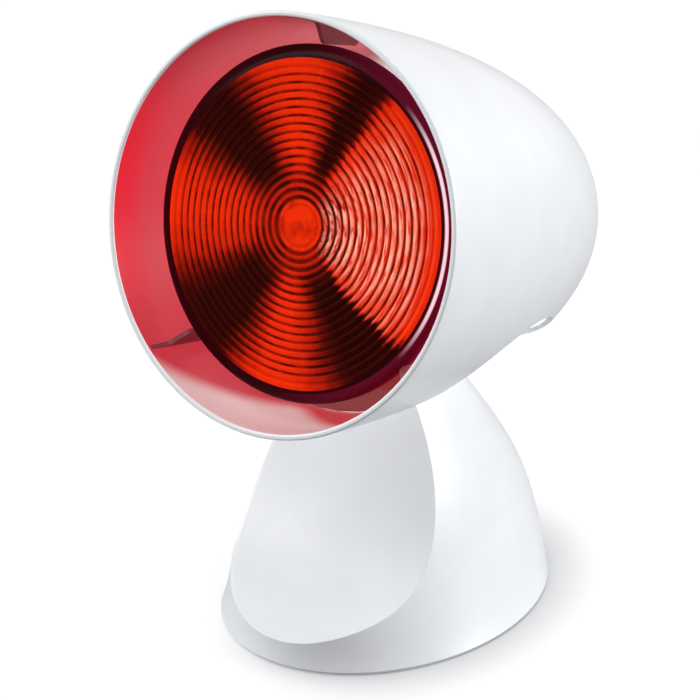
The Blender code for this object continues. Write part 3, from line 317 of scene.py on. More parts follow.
def moulded(name, colour, roughness, peel=PEEL_DEPTH, origin=None, **looks):
    graph = finish(name, origin, IOR=PLASTIC_IOR, **looks)
    smudge = graph.noise(SMUDGE_PER_METRE)
    graph.set("Roughness", roughness + SMUDGE_GLOSS * (smudge - 0.5))
    darker = tuple(channel * SMUDGE_SHADE for channel in colour)
    graph.set("Base Color", graph.mix(smudge.step(*SMUDGE_EDGES), colour, darker))
    graph.bump(graph.noise(PEEL_PER_METRE), peel)
    return graph


white_plastic = moulded("white_plastic", WHITE, 0.3)
face_plastic = moulded("face_plastic", WHITE, 0.45)
dark_plastic = moulded("dark_plastic", light_of(52, 53, 56), 0.55, 0.03 * MM)
black_plastic = moulded("black_plastic", light_of(24, 24, 26), 0.3)
black_rubber = moulded("black_rubber", light_of(30, 30, 31), 0.8, 0.05 * MM)
porcelain = moulded("porcelain", light_of(238, 236, 229), 0.18)
sleeve = moulded("lead_sleeve", light_of(226, 222, 212), 0.85, 0.08 * MM)
print("materials so far:", len(bpy.data.materials))

# %% [markdown]
# The shade's inside shines red, because its glossy wall mirrors the lit bulb: that reflection is
# painted into the wall's colour, brighter on the left near the rim and darker high on the right.
# Low down near the rim room light falls on it, so a patch of painted light there turns pale pink.
# The patch narrows further from the rim: both its borders are straight lines in turn and depth. The
# ribs are painted dark, as shade, against the wall, and behind the bulb the wall is white again. A
# lamp in the bulb could do this, but it is slow and noisy, so the glow is painted into the wall's
# colour and emission.

# %% Inside of the shade: colours, and where each one starts and ends
# Painted light and shade of the inside: the bulb's red reflection, a brighter part in painted
# light, a darker part in painted shade, and the pale patch of room light.
INNER_PAINTED_GLOW = light_of(188, 52, 64)
INNER_PAINTED_LIGHT = light_of(210, 38, 55)
INNER_PAINTED_SHADE = light_of(112, 26, 30)
INNER_ROOM_LIGHT = light_of(212, 176, 176)
PATCH_LEFT = -0.35, 2.4
PATCH_RIGHT = -0.145, -3.1
PATCH_BLUR = 0.018
PATCH_TOP = 0, -10 * MM
PAINTED_LIGHT_DEPTH = 22 * MM, 4 * MM
PAINTED_LIGHT_SIDE = -50 * MM, -68 * MM
PAINTED_SHADE_SIDE = -25 * MM, 8 * MM
PAINTED_SHADE_RISE = 0, 40 * MM
WHITE_DEPTH = 80 * MM, 100 * MM
GLOW_RISE = -45 * MM, 50 * MM
GLOW_DEPTH = 4 * MM, 26 * MM
GLOW_END = 90 * MM, 60 * MM
GLOW_LEAST = 0.2
GLOW_UP = 0.55
GLOW_IN = 0.2
PAINTED_SHADE_DIMS = 0.7
PATCH_POINT = (PATCH_RIGHT[0] - PATCH_LEFT[0]) / (PATCH_LEFT[1] - PATCH_RIGHT[1])
print("the pale patch ends in mm behind the rim:", in_mm(PATCH_POINT))


# %% Inside of the shade
def inner_painted_light(graph):
    """The wall's painted reflection of the bulb, with painted light and shade, and the part of it
    that glows.
    """
    across, up, along = graph.axes()
    turn, depth = turn_of(across, up), along * -1
    left = turn - (PATCH_LEFT[0] + depth * PATCH_LEFT[1])
    right = turn - (PATCH_RIGHT[0] + depth * PATCH_RIGHT[1])
    pale = left.step(-PATCH_BLUR, PATCH_BLUR) * right.step(PATCH_BLUR, -PATCH_BLUR)
    # Painted light on the left near the rim, painted shade high on the right, and the painted pale
    # patch of room light low down.
    painted_light_mask = depth.step(*PAINTED_LIGHT_DEPTH) * across.step(*PAINTED_LIGHT_SIDE)
    painted_shade_mask = across.step(*PAINTED_SHADE_SIDE) * up.step(*PAINTED_SHADE_RISE)
    red = graph.mix(painted_shade_mask, graph.mix(painted_light_mask, INNER_PAINTED_GLOW, INNER_PAINTED_LIGHT), INNER_PAINTED_SHADE)
    near = graph.mix(pale * up.step(*PATCH_TOP), red, INNER_ROOM_LIGHT)
    colour = graph.mix(depth.step(*WHITE_DEPTH), near, WHITE)
    glow = GLOW_LEAST + GLOW_UP * up.step(*GLOW_RISE) + GLOW_IN * depth.step(*GLOW_DEPTH)
    glow = glow * (1 - painted_shade_mask * PAINTED_SHADE_DIMS) * depth.step(*GLOW_END)
    return colour, graph.mix(glow, BLACK, colour)


RED_SHINE = 0.2
inside_painted_glow = moulded("shade_inside", INNER_PAINTED_GLOW, 0.35, origin=rim, Emission_Strength=0.5,
                     Specular_IOR_Level=RED_SHINE)
for socket, colour in zip(("Base Color", "Emission Color"), inner_painted_light(inside_painted_glow)):
    inside_painted_glow.set(socket, colour)
# The ribs are painted dark, as shade.
rib_painted_shade = moulded("shade_rib", light_of(116, 32, 42), 0.45)
print("nodes in the shade's inside:", len(inside_painted_glow.tree.nodes))

# %% [markdown]
# The saddle closes the arch, so its upper side takes the painted red glow of the shade's inside and
# its lower side the white of the outside. It is one CAD sheet, and parting its faces would change
# its mesh, so its material parts them: a step on the distance from the arch's axis finds the upper
# side, and a second one keeps the rear, which no light of the bulb reaches, white.

# %% Saddle
ARCH_RADIUS = 55.8 * MM
SADDLE_THICK = 1.8 * MM
SADDLE_TURNS_RED = ARCH_RADIUS + SADDLE_THICK * 0.02, ARCH_RADIUS + SADDLE_THICK * 0.1
SADDLE_REAR = 10 * MM, -10 * MM
# Painted glow of the bulb's red light on the saddle's upper side.
SADDLE_PAINTED_GLOW = light_of(136, 34, 38)

saddle_painted_glow = moulded("saddle_painted_glow", WHITE, 0.34, origin=arch, Specular_IOR_Level=RED_SHINE)
_, arch_back, arch_up = saddle_painted_glow.axes()
glow_side = off_axis(arch_back, arch_up).step(*SADDLE_TURNS_RED) * arch_back.step(*SADDLE_REAR)
saddle_painted_glow.set("Base Color", saddle_painted_glow.mix(glow_side, WHITE, SADDLE_PAINTED_GLOW))
print("the saddle turns red, in mm from its axis:", in_mm(*SADDLE_TURNS_RED))

# %% [markdown]
# ## Metals
# Plated steel is bright with a fine grain; brass is warmer. A metal's colour is its reflection, so
# only the roughness and the grain vary.

# %% Metals
GRAIN_PER_METRE = 700
GRAIN_DEPTH = 0.01 * MM
GRAIN_GLOSS = 0.15


def metal(name, colour, roughness, grain=GRAIN_PER_METRE):
    graph = finish(name, Base_Color=colour, Metallic=1.0)
    graph.set("Roughness", roughness + GRAIN_GLOSS * (graph.noise(grain, 2.0) - 0.5))
    graph.bump(graph.noise(grain), GRAIN_DEPTH)
    return graph


steel = metal("plated_steel", light_of(202, 204, 207), 0.32)
brass = metal("brass", light_of(212, 182, 118), 0.3)
nickel = metal("nickel_plate", light_of(196, 195, 190), 0.38)
cast_iron = metal("cast_iron", light_of(96, 97, 100), 0.62, 300)
tungsten = metal("tungsten", light_of(150, 146, 138), 0.4)
mirror = metal("reflector_coat", light_of(225, 226, 228), 0.08)
print("materials so far:", len(bpy.data.materials))

# %% [markdown]
# ## Red glass
# The lens is pressed ruby glass. Ridges in rings spread the heat, and the mirrored cone behind them
# gathers the light into four bright fans with dark ones in between. Each ring shows as a bright
# band between thin dark lines, and the fans' borders saw-tooth a little from ring to ring. Clear
# glass would have to be traced through every ridge, so this light and shade is painted on the lens
# instead, as its colour and as glow: by turn, by ring, and by noise for the unevenness. The dark
# lines are painted shade, and the strokes on the right fan are painted highlights. A pair such as
# FAN_FORMS is where a step starts and where it is done.

# %% Ring sizes of the lens
BULB_RADIUS = 60.5 * MM
BEAD_DEPTH = 18.2 * MM
BEAD_ROUND = 1.9 * MM
LENS_RADIUS = 55.8 * MM
LENS_DEPTH = 15.4 * MM
LENS_RISE = 0.2 * MM
GLASS_WALL = 2.2 * MM
RING_COUNT = 17
RING_HEIGHT = 0.4 * MM
CENTRE_DISC = 9.5 * MM
RING_PITCH = (LENS_RADIUS - CENTRE_DISC) / RING_COUNT
print("rings:", RING_COUNT, "with a pitch in mm of", round(RING_PITCH / MM, 2))

# %% Fans of light: share of a turn from the +X side upwards, and brightness
FANS = ((0.0, 1.0), (0.15, 1.0), (0.162, 0.3), (0.174, 0.03), (0.2, 0.03), (0.225, 0.45),
        (0.25, 0.9), (0.29, 1.0), (0.325, 0.7), (0.352, 0.25), (0.375, 0.03), (0.42, 0.04),
        (0.447, 0.4), (0.475, 0.85), (0.51, 0.95), (0.55, 0.7), (0.578, 0.25), (0.605, 0.04),
        (0.665, 0.04), (0.695, 0.4), (0.725, 0.95), (0.76, 0.95), (0.79, 0.65), (0.82, 0.25),
        (0.845, 0.03), (0.896, 0.03), (0.912, 1.0), (1.0, 1.0))
FAN_SPREAD = 0.03
FAN_TEETH = 0.005
FAN_MEAN = 0.6
FAN_FORMS = 0.2, 0.42
RIPPLE = 0.03
RIPPLE_PER_METRE = 160


def fan_light(graph, share, turn, ring):
    """Painted brightness of the fans of light, which spread and even out towards the middle of the
    lens.
    """
    spread = (turn * 2 * math.tau).sine() * (1 - share) * -FAN_SPREAD
    ripple = (graph.noise(RIPPLE_PER_METRE) - 0.5) * RIPPLE
    ruffle = (ring * math.tau).sine() * FAN_TEETH + ripple
    fans = Wave(graph, graph.ramp((turn + spread + ruffle).fract(), FANS))
    return FAN_MEAN + (fans - FAN_MEAN) * share.step(*FAN_FORMS)


# %% Lines between the rings, and glints on them
THIN_LINE = 0.22, 0.46
WIDE_LINE = 0.1, 0.36
LINE_WIDENS = 0.5, 0.25
LINE_STARTS = 0.1, 0.17
LINE_ENDS = 0.99, 0.88
BEAM_TURN = 0.02
BEAM_FADE = 0.15, 0.06
BEAM_STARTS = 0.15, 0.24
BEAM_ENDS = 1.0, 0.8
CREST = 0.42
CREST_FADE = 0.42, 0.16
STROKE_SCALE = 3, 30
STROKE_EDGES = 0.36, 0.56
CLUSTER_SCALE = 0.3, 14
CLUSTER_EDGES = 0.3, 0.62
CLUSTER_LIGHT = 0.35, 1.0


def ring_lines(share, ring):
    """Painted shade in the valleys between the rings, wider near the middle and gone in the
    outermost band.
    """
    valley = (ring.fract() - 0.5).size()
    wide = valley.step(*WIDE_LINE)
    narrow = valley.step(*THIN_LINE)
    lines = narrow + (wide - narrow) * share.step(*LINE_WIDENS)
    return lines * share.step(*LINE_STARTS) * share.step(*LINE_ENDS)


def glints(graph, share, turn, ring):
    """Painted highlights: short bright strokes along the rings, on the right fan only."""
    beam = (turn - BEAM_TURN).size().step(*BEAM_FADE)
    beam = beam * share.step(*BEAM_STARTS) * share.step(*BEAM_ENDS)
    crest = (ring.fract() - CREST).size().step(*CREST_FADE)
    strokes = graph.streaks(ring, turn, STROKE_SCALE).step(*STROKE_EDGES)
    clusters = graph.streaks(ring, turn, CLUSTER_SCALE, 2.0).step(*CLUSTER_EDGES)
    return beam * crest * strokes * clusters.between(*CLUSTER_LIGHT)


print("lines in mm from the axis:", in_mm(LINE_STARTS[0] * LENS_RADIUS, LENS_RADIUS))

# %% Lens glass
GLASS_IOR = 1.5
# Colours of the painted light on the lens, from its darkest fans to its glints.
RUBY = ((0.0, light_of(30, 7, 5)), (0.2, light_of(78, 13, 7)), (0.55, light_of(176, 28, 10)),
        (1.0, light_of(232, 46, 10)))
GLINT = light_of(252, 172, 146)
SPECKLE_PER_METRE = 700
SPECKLE_DEPTH = 0.05 * MM
SPECKLE_LIGHT = 0.8, 1.2
CLOUD_PER_METRE = 150
CLOUD_EDGES = 0.32, 0.68
LINE_CLOUD = 0.6, 1.0
LINE_DARK = 0.85
BAND_MIDDLE = 0.35
BAND_FADE = 0.14, 0.02
BAND_LIGHT = 0.1
DISC_ENDS = 0.2, 0.14
DISC_LIGHT = 0.05, 0.55
SHINE_STARTS = 0.3, 0.7


def lens_glass():
    graph = finish("ruby_lens", bulb_axis, Roughness=0.3, IOR=GLASS_IOR, Specular_IOR_Level=0.0,
                   Emission_Strength=0.3)
    across, up, _ = graph.axes()
    radius, turn = off_axis(across, up), turn_of(across, up)
    share = radius / LENS_RADIUS
    ring = (radius - CENTRE_DISC) / RING_PITCH
    speckle = graph.noise(SPECKLE_PER_METRE, 4.0)
    cloud = graph.noise(CLOUD_PER_METRE, 4.0).step(*CLOUD_EDGES)
    # Painted light and shade, used as colour and as glow: shade in the ring valleys, a highlight on
    # each crest, the cloudy bright centre disc, the fans and the glints.
    line = ring_lines(share, ring) * cloud.between(*LINE_CLOUD)
    band = (ring.fract() - BAND_MIDDLE).size().step(*BAND_FADE) * BAND_LIGHT
    disc = share.step(*DISC_ENDS) * cloud.between(*DISC_LIGHT)
    fans = fan_light(graph, share, turn, ring)
    lit = (fans + band + disc) * (1 - line * LINE_DARK) * speckle.between(*SPECKLE_LIGHT)
    shine = glints(graph, share, turn, ring) * fans.step(*SHINE_STARTS)
    glow = graph.mix(shine, graph.ramp(lit, RUBY), GLINT)
    graph.set("Base Color", glow)
    graph.set("Emission Color", glow)
    graph.bump(speckle, SPECKLE_DEPTH)
    return graph


ruby_lens = lens_glass()
print("nodes in the lens glass:", len(ruby_lens.tree.nodes))

# %% [markdown]
# Round the lens the glass curves back, so it reads as a dark rim. Its near side turns purple, with
# one bright streak of the lamp on the right. A mirror finish would show every lamp, so the streak
# is drawn where the photograph has it.

# %% Edge of the bulb
EDGE_DARK = light_of(46, 5, 12)
EDGE_PAINTED_LIGHT = light_of(112, 20, 48)
EDGE_STREAK = light_of(255, 214, 228)
EDGE_WIDE = BULB_RADIUS - LENS_RADIUS
EDGE_LIGHT_STARTS = 0.12, 0.3
EDGE_LIGHT_TURNS = -15 * MM, 40 * MM
STREAK_MIDDLE = 0.4
STREAK_WIDE = 0.17, 0.06
STREAK_LONG = 0.13, 0.06


def edge_glass():
    """Dark ruby, with painted light that turns the near side purple, and a painted highlight that
    also glows: the bright streak of the right lamp.
    """
    graph = finish("ruby_edge", bulb_axis, Roughness=0.15, IOR=GLASS_IOR,
                   Specular_IOR_Level=0.02, Emission_Strength=0.5)
    across, up, _ = graph.axes()
    outward = (off_axis(across, up) - LENS_RADIUS) / EDGE_WIDE
    side = outward.step(*EDGE_LIGHT_STARTS) * across.step(*EDGE_LIGHT_TURNS)
    streak = (outward - STREAK_MIDDLE).size().step(*STREAK_WIDE)
    streak = streak * (turn_of(across, up) - BEAM_TURN).size().step(*STREAK_LONG)
    ruby = graph.mix(side, EDGE_DARK, EDGE_PAINTED_LIGHT)
    graph.set("Base Color", graph.mix(streak, ruby, EDGE_STREAK))
    graph.set("Emission Color", graph.mix(streak, BLACK, EDGE_STREAK))
    return graph


ruby_edge = edge_glass()
print("edge of the bulb in mm:", in_mm(EDGE_WIDE))

# %% [markdown]
# ## Making shapes
# Most of the lamp is turned or lofted. A turned piece is a half profile with a Screw modifier: its
# outer side runs from top to bottom, or the shape comes out inside out and cuts nothing. A loft
# skins a stack of sections, and a plate is a loft of one outline twice.

# %% Turned shapes
FINE = 144
WELD = 0.01 * MM


def turned(name, profile, parent, steps=FINE):
    """Revolve (radius, height) points round the parent's Z."""
    points = [(radius, 0, height) for radius, height in profile]
    mesh = bpy.data.meshes.new(name)
    mesh.from_pydata(points, [(i, i + 1) for i in range(len(points) - 1)], [])
    obj = add_object(name, mesh, parent)
    turn = obj.modifiers.new("turn", "SCREW")
    turn.steps = turn.render_steps = steps
    turn.use_merge_vertices = True
    turn.merge_threshold = WELD
    return obj


def rod(name, radius, low, high, parent, steps=FINE):
    return turned(name, [(0, high), (radius, high), (radius, low), (0, low)], parent, steps)


# %% Lofts and plates
def loft(name, rings, parent):
    shape = bmesh.new()
    rows = [[shape.verts.new(point) for point in ring] for ring in rings]
    for low, high in zip(rows, rows[1:]):
        for i in range(len(low)):
            j = (i + 1) % len(low)
            shape.faces.new((low[i], low[j], high[j], high[i]))
    shape.faces.new(rows[0])
    shape.faces.new(rows[-1])
    bmesh.ops.recalc_face_normals(shape, faces=shape.faces)
    mesh = bpy.data.meshes.new(name)
    shape.to_mesh(mesh)
    shape.free()
    return add_object(name, mesh, parent)


def flat_plate(name, outline, thickness, parent):
    """A flat outline of the given thickness, centred on its own plane."""
    levels = (-thickness / 2, thickness / 2)
    return loft(name, [[(x, y, z) for x, y in outline] for z in levels], parent)


def box(name, size, parent, at=(0, 0, 0)):
    x, y = size[0] / 2, size[1] / 2
    return place(flat_plate(name, [(-x, -y), (x, -y), (x, y), (-x, y)], size[2], parent), at)


# %% [markdown]
# Cuts and joins are Boolean modifiers. Once they are all in place, `settle` writes the result as
# one plain mesh in the CAD's frame, lets it ride on its body and throws the helpers away.

# %% Cutting and rounding
def boolean(obj, operation, *tools):
    for part in tools:
        step = obj.modifiers.new(part.name, "BOOLEAN")
        step.operation = operation
        step.object = part
        step.solver = "EXACT"
    return obj


def rounded(obj, width):
    bevel = obj.modifiers.new("round", "BEVEL")
    bevel.width = width
    bevel.segments = 3
    bevel.limit_method = "ANGLE"
    return obj


# %% Settling and dressing
CREASE = 32


def discard(obj):
    for step in obj.modifiers:
        if step.type == "BOOLEAN":
            discard(step.object)
    bpy.data.objects.remove(obj)


def dress(obj, *graphs):
    obj.data.materials.clear()
    for graph in graphs:
        obj.data.materials.append(graph.owner)
    return obj


def settle(name, obj, body, *graphs, crease=CREASE):
    """One plain mesh of the shape in the CAD's frame, smooth up to the crease angle."""
    bpy.context.view_layer.update()
    source = obj.evaluated_get(bpy.context.evaluated_depsgraph_get())
    mesh = bpy.data.meshes.new_from_object(source)
    mesh.transform(obj.matrix_world)
    discard(obj)
    mesh.shade_smooth()
    mesh.set_sharp_from_angle(angle=math.radians(crease))
    print(name, "has", len(mesh.polygons), "faces")
    return dress(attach(add_object(name, mesh), body), *graphs)


# %% Flat curves
def arc(centre, radius, start, end, count):
    """Points on a circle between two angles in degrees."""
    turns = [math.radians(start + (end - start) * i / count) for i in range(count + 1)]
    return [(centre[0] + radius * math.cos(a), centre[1] + radius * math.sin(a)) for a in turns]


def curve_points(control, samples):
    corners = [Vector((x, y, 0)) for x, y in control]
    return [(point.x, point.y) for point in interpolate_bezier(*corners, samples)]


def moved_left(line, offset):
    """The line shifted to the left of its direction."""
    found = []
    for i, (x, y) in enumerate(line):
        (x0, y0), (x1, y1) = line[max(i - 1, 0)], line[min(i + 1, len(line) - 1)]
        length = math.hypot(x1 - x0, y1 - y0)
        found.append((x - (y1 - y0) / length * offset, y + (x1 - x0) / length * offset))
    return found


print("a quarter arc in three points:", [in_mm(*point) for point in arc((0, 0), MM, 0, 90, 2)])

# %% [markdown]
# ## Shade
# The bell is one turned shell. It bulges slowly from the rim and closes in a round tail. An arch
# across its underside clears the neck, twelve slots in the tail let hot air out, and three thin
# ribs behind the rim centre the bulb.

# %% Shade sizes
RIM_RADIUS = 70.8 * MM
SHADE_DEPTH = 176.7 * MM
SHADE_WALL = 2 * MM
RIM_ROUND = 0.7 * MM
SHADE_BULGE = 64.8 * MM
BULGE_RADIUS = 68.08 * MM
TAIL_RADIUS = 57.9 * MM
SHADE_SAMPLES = 40
SEAM = 0.3 * MM
print("shade in mm, width and depth:", in_mm(2 * RIM_RADIUS, SHADE_DEPTH))


# %% Shade profile, as (radius, depth behind the rim)
def behind(line):
    return [(radius, -depth) for radius, depth in line]


def shade_outer():
    bulge, tail = (BULGE_RADIUS, SHADE_BULGE), (TAIL_RADIUS, SHADE_DEPTH)
    return curve_points(((RIM_RADIUS, 0), bulge, tail, (0, SHADE_DEPTH)), SHADE_SAMPLES)


def shade_inner(inset=SHADE_WALL):
    line = moved_left(shade_outer(), inset)
    line[0] = (RIM_RADIUS - inset, 0)
    line[-1] = (0, SHADE_DEPTH - inset)
    return line


def wall_radius(depth, inset):
    line = shade_inner(inset)
    for (r0, s0), (r1, s1) in zip(line, line[1:]):
        if depth <= s1:
            return r0 + (r1 - r0) * (depth - s0) / (s1 - s0)
    return 0.0


print("inner wall at the bead, in mm:", in_mm(wall_radius(BEAD_DEPTH, SHADE_WALL)))

# %% [markdown]
# A rib is a thin plate that stands on the wall in line with the axis. Its outline is drawn flat, as
# radius and depth, so the wall's own curve gives its foot, and a sine gives the soft rise.

# %% Ribs
FIN_TURNS = (90, 228, 321)
FIN_THICK = 1.6 * MM
FIN_START = 2 * MM
FIN_FOOT = 0.7 * MM
FIN_LEAP = 9 * MM
FIN_RISE = 7 * MM
FIN_END = 40 * MM
FIN_SAMPLES = 12


def fin(number, degrees):
    """A rib that runs in low from the rim, then rises in a curve to the bulb's bead."""
    crest = BULB_RADIUS + SEAM
    outline = [(wall_radius(FIN_START, inset), FIN_START) for inset in (SHADE_WALL / 2, SHADE_WALL)]
    for k in range(FIN_SAMPLES + 1):
        depth = FIN_LEAP + FIN_RISE * k / FIN_SAMPLES
        root = wall_radius(depth, SHADE_WALL + FIN_FOOT)
        rise = math.sin(math.pi / 2 * k / FIN_SAMPLES) ** 2
        outline.append((root + (crest - root) * rise, depth))
    outline += [(crest, FIN_END - FIN_RISE), (wall_radius(FIN_END, SHADE_WALL / 2), FIN_END)]
    rib = flat_plate("fin_%d" % number, behind(outline), FIN_THICK, rim)
    return place(rib, rotation=(math.pi / 2, 0, math.radians(degrees)))


print("crest of the ribs in mm from the axis:", in_mm(BULB_RADIUS + SEAM))

# %% Vents and arch
SIDEWAYS = (0, math.pi / 2, 0)
VENT_COUNT = 12
VENT_WIDTH = 2.6 * MM
VENT_LENGTH = 11 * MM
VENT_RADIUS = 16.5 * MM
ROUND_SAMPLES = 8


def vent(number):
    end = VENT_WIDTH / 2
    reach = VENT_LENGTH / 2 - end
    outline = arc((reach, 0), end, -90, 90, ROUND_SAMPLES)
    outline += arc((-reach, 0), end, 90, 270, ROUND_SAMPLES)
    turn = math.tau * (number + 0.5) / VENT_COUNT
    spot = (VENT_RADIUS * math.cos(turn), VENT_RADIUS * math.sin(turn), -SHADE_DEPTH)
    slot = flat_plate("vent_%d" % number, outline, SHADE_DEPTH / 4, rim)
    return place(slot, spot, (0, 0, turn))


def arch_tool():
    reach = 2 * RIM_RADIUS
    return place(rod("arch_tool", ARCH_RADIUS, -reach, reach, arch), rotation=SIDEWAYS)


print("vents:", VENT_COUNT, "of, in mm:", in_mm(VENT_WIDTH, VENT_LENGTH))

# %% Build the shade
LIP_SAMPLES = 5


def build_shade():
    mouth = arc((RIM_RADIUS - SHADE_WALL + RIM_ROUND, RIM_ROUND), RIM_ROUND, 180, 270, LIP_SAMPLES)
    lip = arc((RIM_RADIUS - RIM_ROUND, RIM_ROUND), RIM_ROUND, -90, 0, LIP_SAMPLES)
    profile = shade_inner()[:0:-1] + mouth + lip + shade_outer()[1:]
    shape = turned("shade_shape", behind(profile), rim)
    boolean(shape, "UNION", *[fin(i, turn) for i, turn in enumerate(FIN_TURNS)])
    boolean(shape, "DIFFERENCE", arch_tool(), *[vent(i) for i in range(VENT_COUNT)])
    return settle("shade", shape, "head", white_plastic, inside_painted_glow, rib_painted_shade)


shade = build_shade()
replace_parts(shade, "head_shell")

# %% [markdown]
# The wall has two faces, and only the one that looks at the axis takes the painted red glow. A face
# belongs to the inside when its middle lies closer to the axis than a line in the wall, near its
# inner side, and to a rib, which is painted dark as shade, when it stands well clear of the wall.

# %% Split the shade's faces
INSIDE_LINE = SHADE_WALL * 0.75


def seen_from(origin, obj):
    """Each face of a settled piece with its middle in a seat's own coordinates."""
    bpy.context.view_layer.update()
    inward = origin.matrix_world.inverted()
    return [(face, inward @ face.center) for face in obj.data.polygons]


def shade_look(middle):
    """0 for the white outside, 1 for the wall with the painted red glow and 2 for a rib in painted
    shade.
    """
    depth, radius = -middle.z, math.hypot(middle.x, middle.y)
    if not RIM_ROUND < depth < SHADE_DEPTH - INSIDE_LINE:
        return 0
    ribbed = FIN_START < depth < FIN_END and radius < wall_radius(depth, SHADE_WALL + SEAM)
    return int(radius < wall_radius(depth, INSIDE_LINE)) + int(ribbed)


for face, middle in seen_from(rim, shade):
    face.material_index = shade_look(middle)
print("red faces:", sum(face.material_index > 0 for face in shade.data.polygons))

# %% [markdown]
# ## Bulb lens
# Seen close, every ring of the lens is a low rounded ridge. A half sine per ring gives that ridge
# and leaves the sharp valley that shows as a dark line. Round the lens the glass curves back to the
# bulb's widest circle, so it shows as a dark edge, thin on the far side and wide on the near one.

# %% Profile of the lens
RIDGE_SAMPLES = 7
DISC_SAMPLES = 4
SHOULDER_SAMPLES = 16


def lens_depth(radius):
    return LENS_DEPTH - LENS_RISE * (1 - (radius / LENS_RADIUS) ** 2)


def ring_rows():
    radii = [CENTRE_DISC * k / DISC_SAMPLES for k in range(DISC_SAMPLES)]
    rows = [(radius, lens_depth(radius)) for radius in radii]
    for i in range(RING_COUNT * RIDGE_SAMPLES):
        radius = CENTRE_DISC + RING_PITCH * i / RIDGE_SAMPLES
        ridge = RING_HEIGHT * math.sin(math.pi * (i % RIDGE_SAMPLES) / RIDGE_SAMPLES)
        rows.append((radius, lens_depth(radius) - ridge))
    return rows


def shoulder():
    """A quarter of an ellipse from the lens's edge back to the bulb's widest circle."""
    wide, deep = EDGE_WIDE, BEAD_DEPTH - LENS_DEPTH
    turns = [math.pi / 2 * k / SHOULDER_SAMPLES for k in range(SHOULDER_SAMPLES + 1)]
    return [(LENS_RADIUS + wide * math.sin(a), BEAD_DEPTH - deep * math.cos(a)) for a in turns]


print("rows of the lens:", len(ring_rows()), "and of its shoulder:", len(shoulder()))

# %% Build the lens
LENS_STEPS = 192
LENS_CREASE = 50
BACK_SAMPLES = 8


def build_lens():
    bead = BEAD_DEPTH + BEAD_ROUND
    edge = shoulder() + [(BULB_RADIUS, bead), (LENS_RADIUS, bead)]
    radii = [LENS_RADIUS * k / BACK_SAMPLES for k in reversed(range(BACK_SAMPLES))]
    back = [(radius, lens_depth(radius) + GLASS_WALL) for radius in radii]
    shape = turned("lens_shape", behind(ring_rows() + edge + back), bulb_axis, LENS_STEPS)
    return settle("lens", shape, "bulb", ruby_lens, ruby_edge, crease=LENS_CREASE)


lens = build_lens()
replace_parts(lens, "bulb_lens")
for face, middle in seen_from(bulb_axis, lens):
    face.material_index = int(math.hypot(middle.x, middle.y) > LENS_RADIUS)

# %% [markdown]
# ## Foot
# The foot is a stack of ovals that narrows into a domed neck. Three Bezier guides give its half
# width, front and rear at each height, as shares of half its length or width and of its height.

# %% Foot guides
FOOT_LENGTH = 144.8 * MM
FOOT_WIDTH = 113.6 * MM
FOOT_HALF = FOOT_LENGTH / 2
FOOT_SIDE = FOOT_WIDTH / 2
DOME_START = HINGE.z + 2 * MM
REAR_SHARES = ((1.0, 0.0), (1.077, 0.449), (0.684, 0.646), (0.381, 1.0))
FRONT_SHARES = ((-1.0, 0.0), (-0.92, 0.15), (-1.152, 0.567), (-0.493, 1.0))
SIDE_SHARES = ((1.0, 0.0), (0.799, 0.303), (0.799, 0.577), (0.382, 1.0))
GUIDE_SAMPLES = 160


def guide(shares, reach, samples=GUIDE_SAMPLES):
    return curve_points([(along * reach, up * DOME_START) for along, up in shares], samples)


SIDE = guide(SIDE_SHARES, FOOT_SIDE)
FRONT = guide(FRONT_SHARES, FOOT_HALF)
REAR = guide(REAR_SHARES, FOOT_HALF)
print("foot's width in mm, low and high:", in_mm(2 * SIDE[0][0], 2 * SIDE[-1][0]))


# %% Oval sections
def read_guide(line, height):
    for (low, z0), (high, z1) in zip(line, line[1:]):
        if height <= z1:
            return low + (high - low) * (height - z0) / (z1 - z0)
    return line[-1][0]


def foot_section(height, inset=0.0):
    """Half width, front and rear of the oval at a height."""
    return (read_guide(SIDE, height) - inset, read_guide(FRONT, height) + inset,
            read_guide(REAR, height) - inset)


def oval(section, height, scale=1.0, sides=FINE):
    side, front, rear = section
    middle, half = (front + rear) / 2, (rear - front) / 2
    turns = [math.tau * i / sides for i in range(sides)]
    return [(side * scale * math.cos(a), middle + half * scale * math.sin(a), height)
            for a in turns]


print("section at the tilt axis in mm:", in_mm(*foot_section(HINGE.z)))

# %% Solid foot and its hollow
FOOT_WALL = 2.4 * MM
FLOOR_GAP = 0.5 * MM
FOOT_EDGE = 0.8 * MM
FOOT_ROWS = 34
DOME_RISE = 12 * MM
DOME_ROWS = 10
HOLLOW_TOP = HINGE.z - 22 * MM
HOLLOW_ROWS = 12


def foot_solid(name, inset=0.0):
    rings = [oval(foot_section(FLOOR_GAP, FOOT_EDGE + inset), FLOOR_GAP)]
    first = FLOOR_GAP + FOOT_EDGE
    for i in range(FOOT_ROWS + 1):
        height = first + (DOME_START - first) * i / FOOT_ROWS
        rings.append(oval(foot_section(height, inset), height))
    top = foot_section(DOME_START, inset)
    for i in range(1, DOME_ROWS):
        turn = math.pi / 2 * i / DOME_ROWS
        rings.append(oval(top, DOME_START + DOME_RISE * math.sin(turn), math.cos(turn)))
    return loft(name, rings, foot)


def foot_hollow():
    rings = [oval(foot_section(0, FOOT_WALL), -FOOT_WALL, sides=FINE // 2)]
    for i in range(HOLLOW_ROWS + 1):
        height = HOLLOW_TOP * i / HOLLOW_ROWS
        rings.append(oval(foot_section(height, FOOT_WALL), height, sides=FINE // 2))
    return loft("hollow_tool", rings, foot)


print("foot and its hollow in mm, up to:", in_mm(DOME_START + DOME_RISE, HOLLOW_TOP))

# %% [markdown]
# A scooped face is let into the front of the foot as a separate moulding. It lies flush inside a
# thin lip of the housing, so only a hairline shows round it. A grid of points gives its surface,
# whose middle stands a little forward.

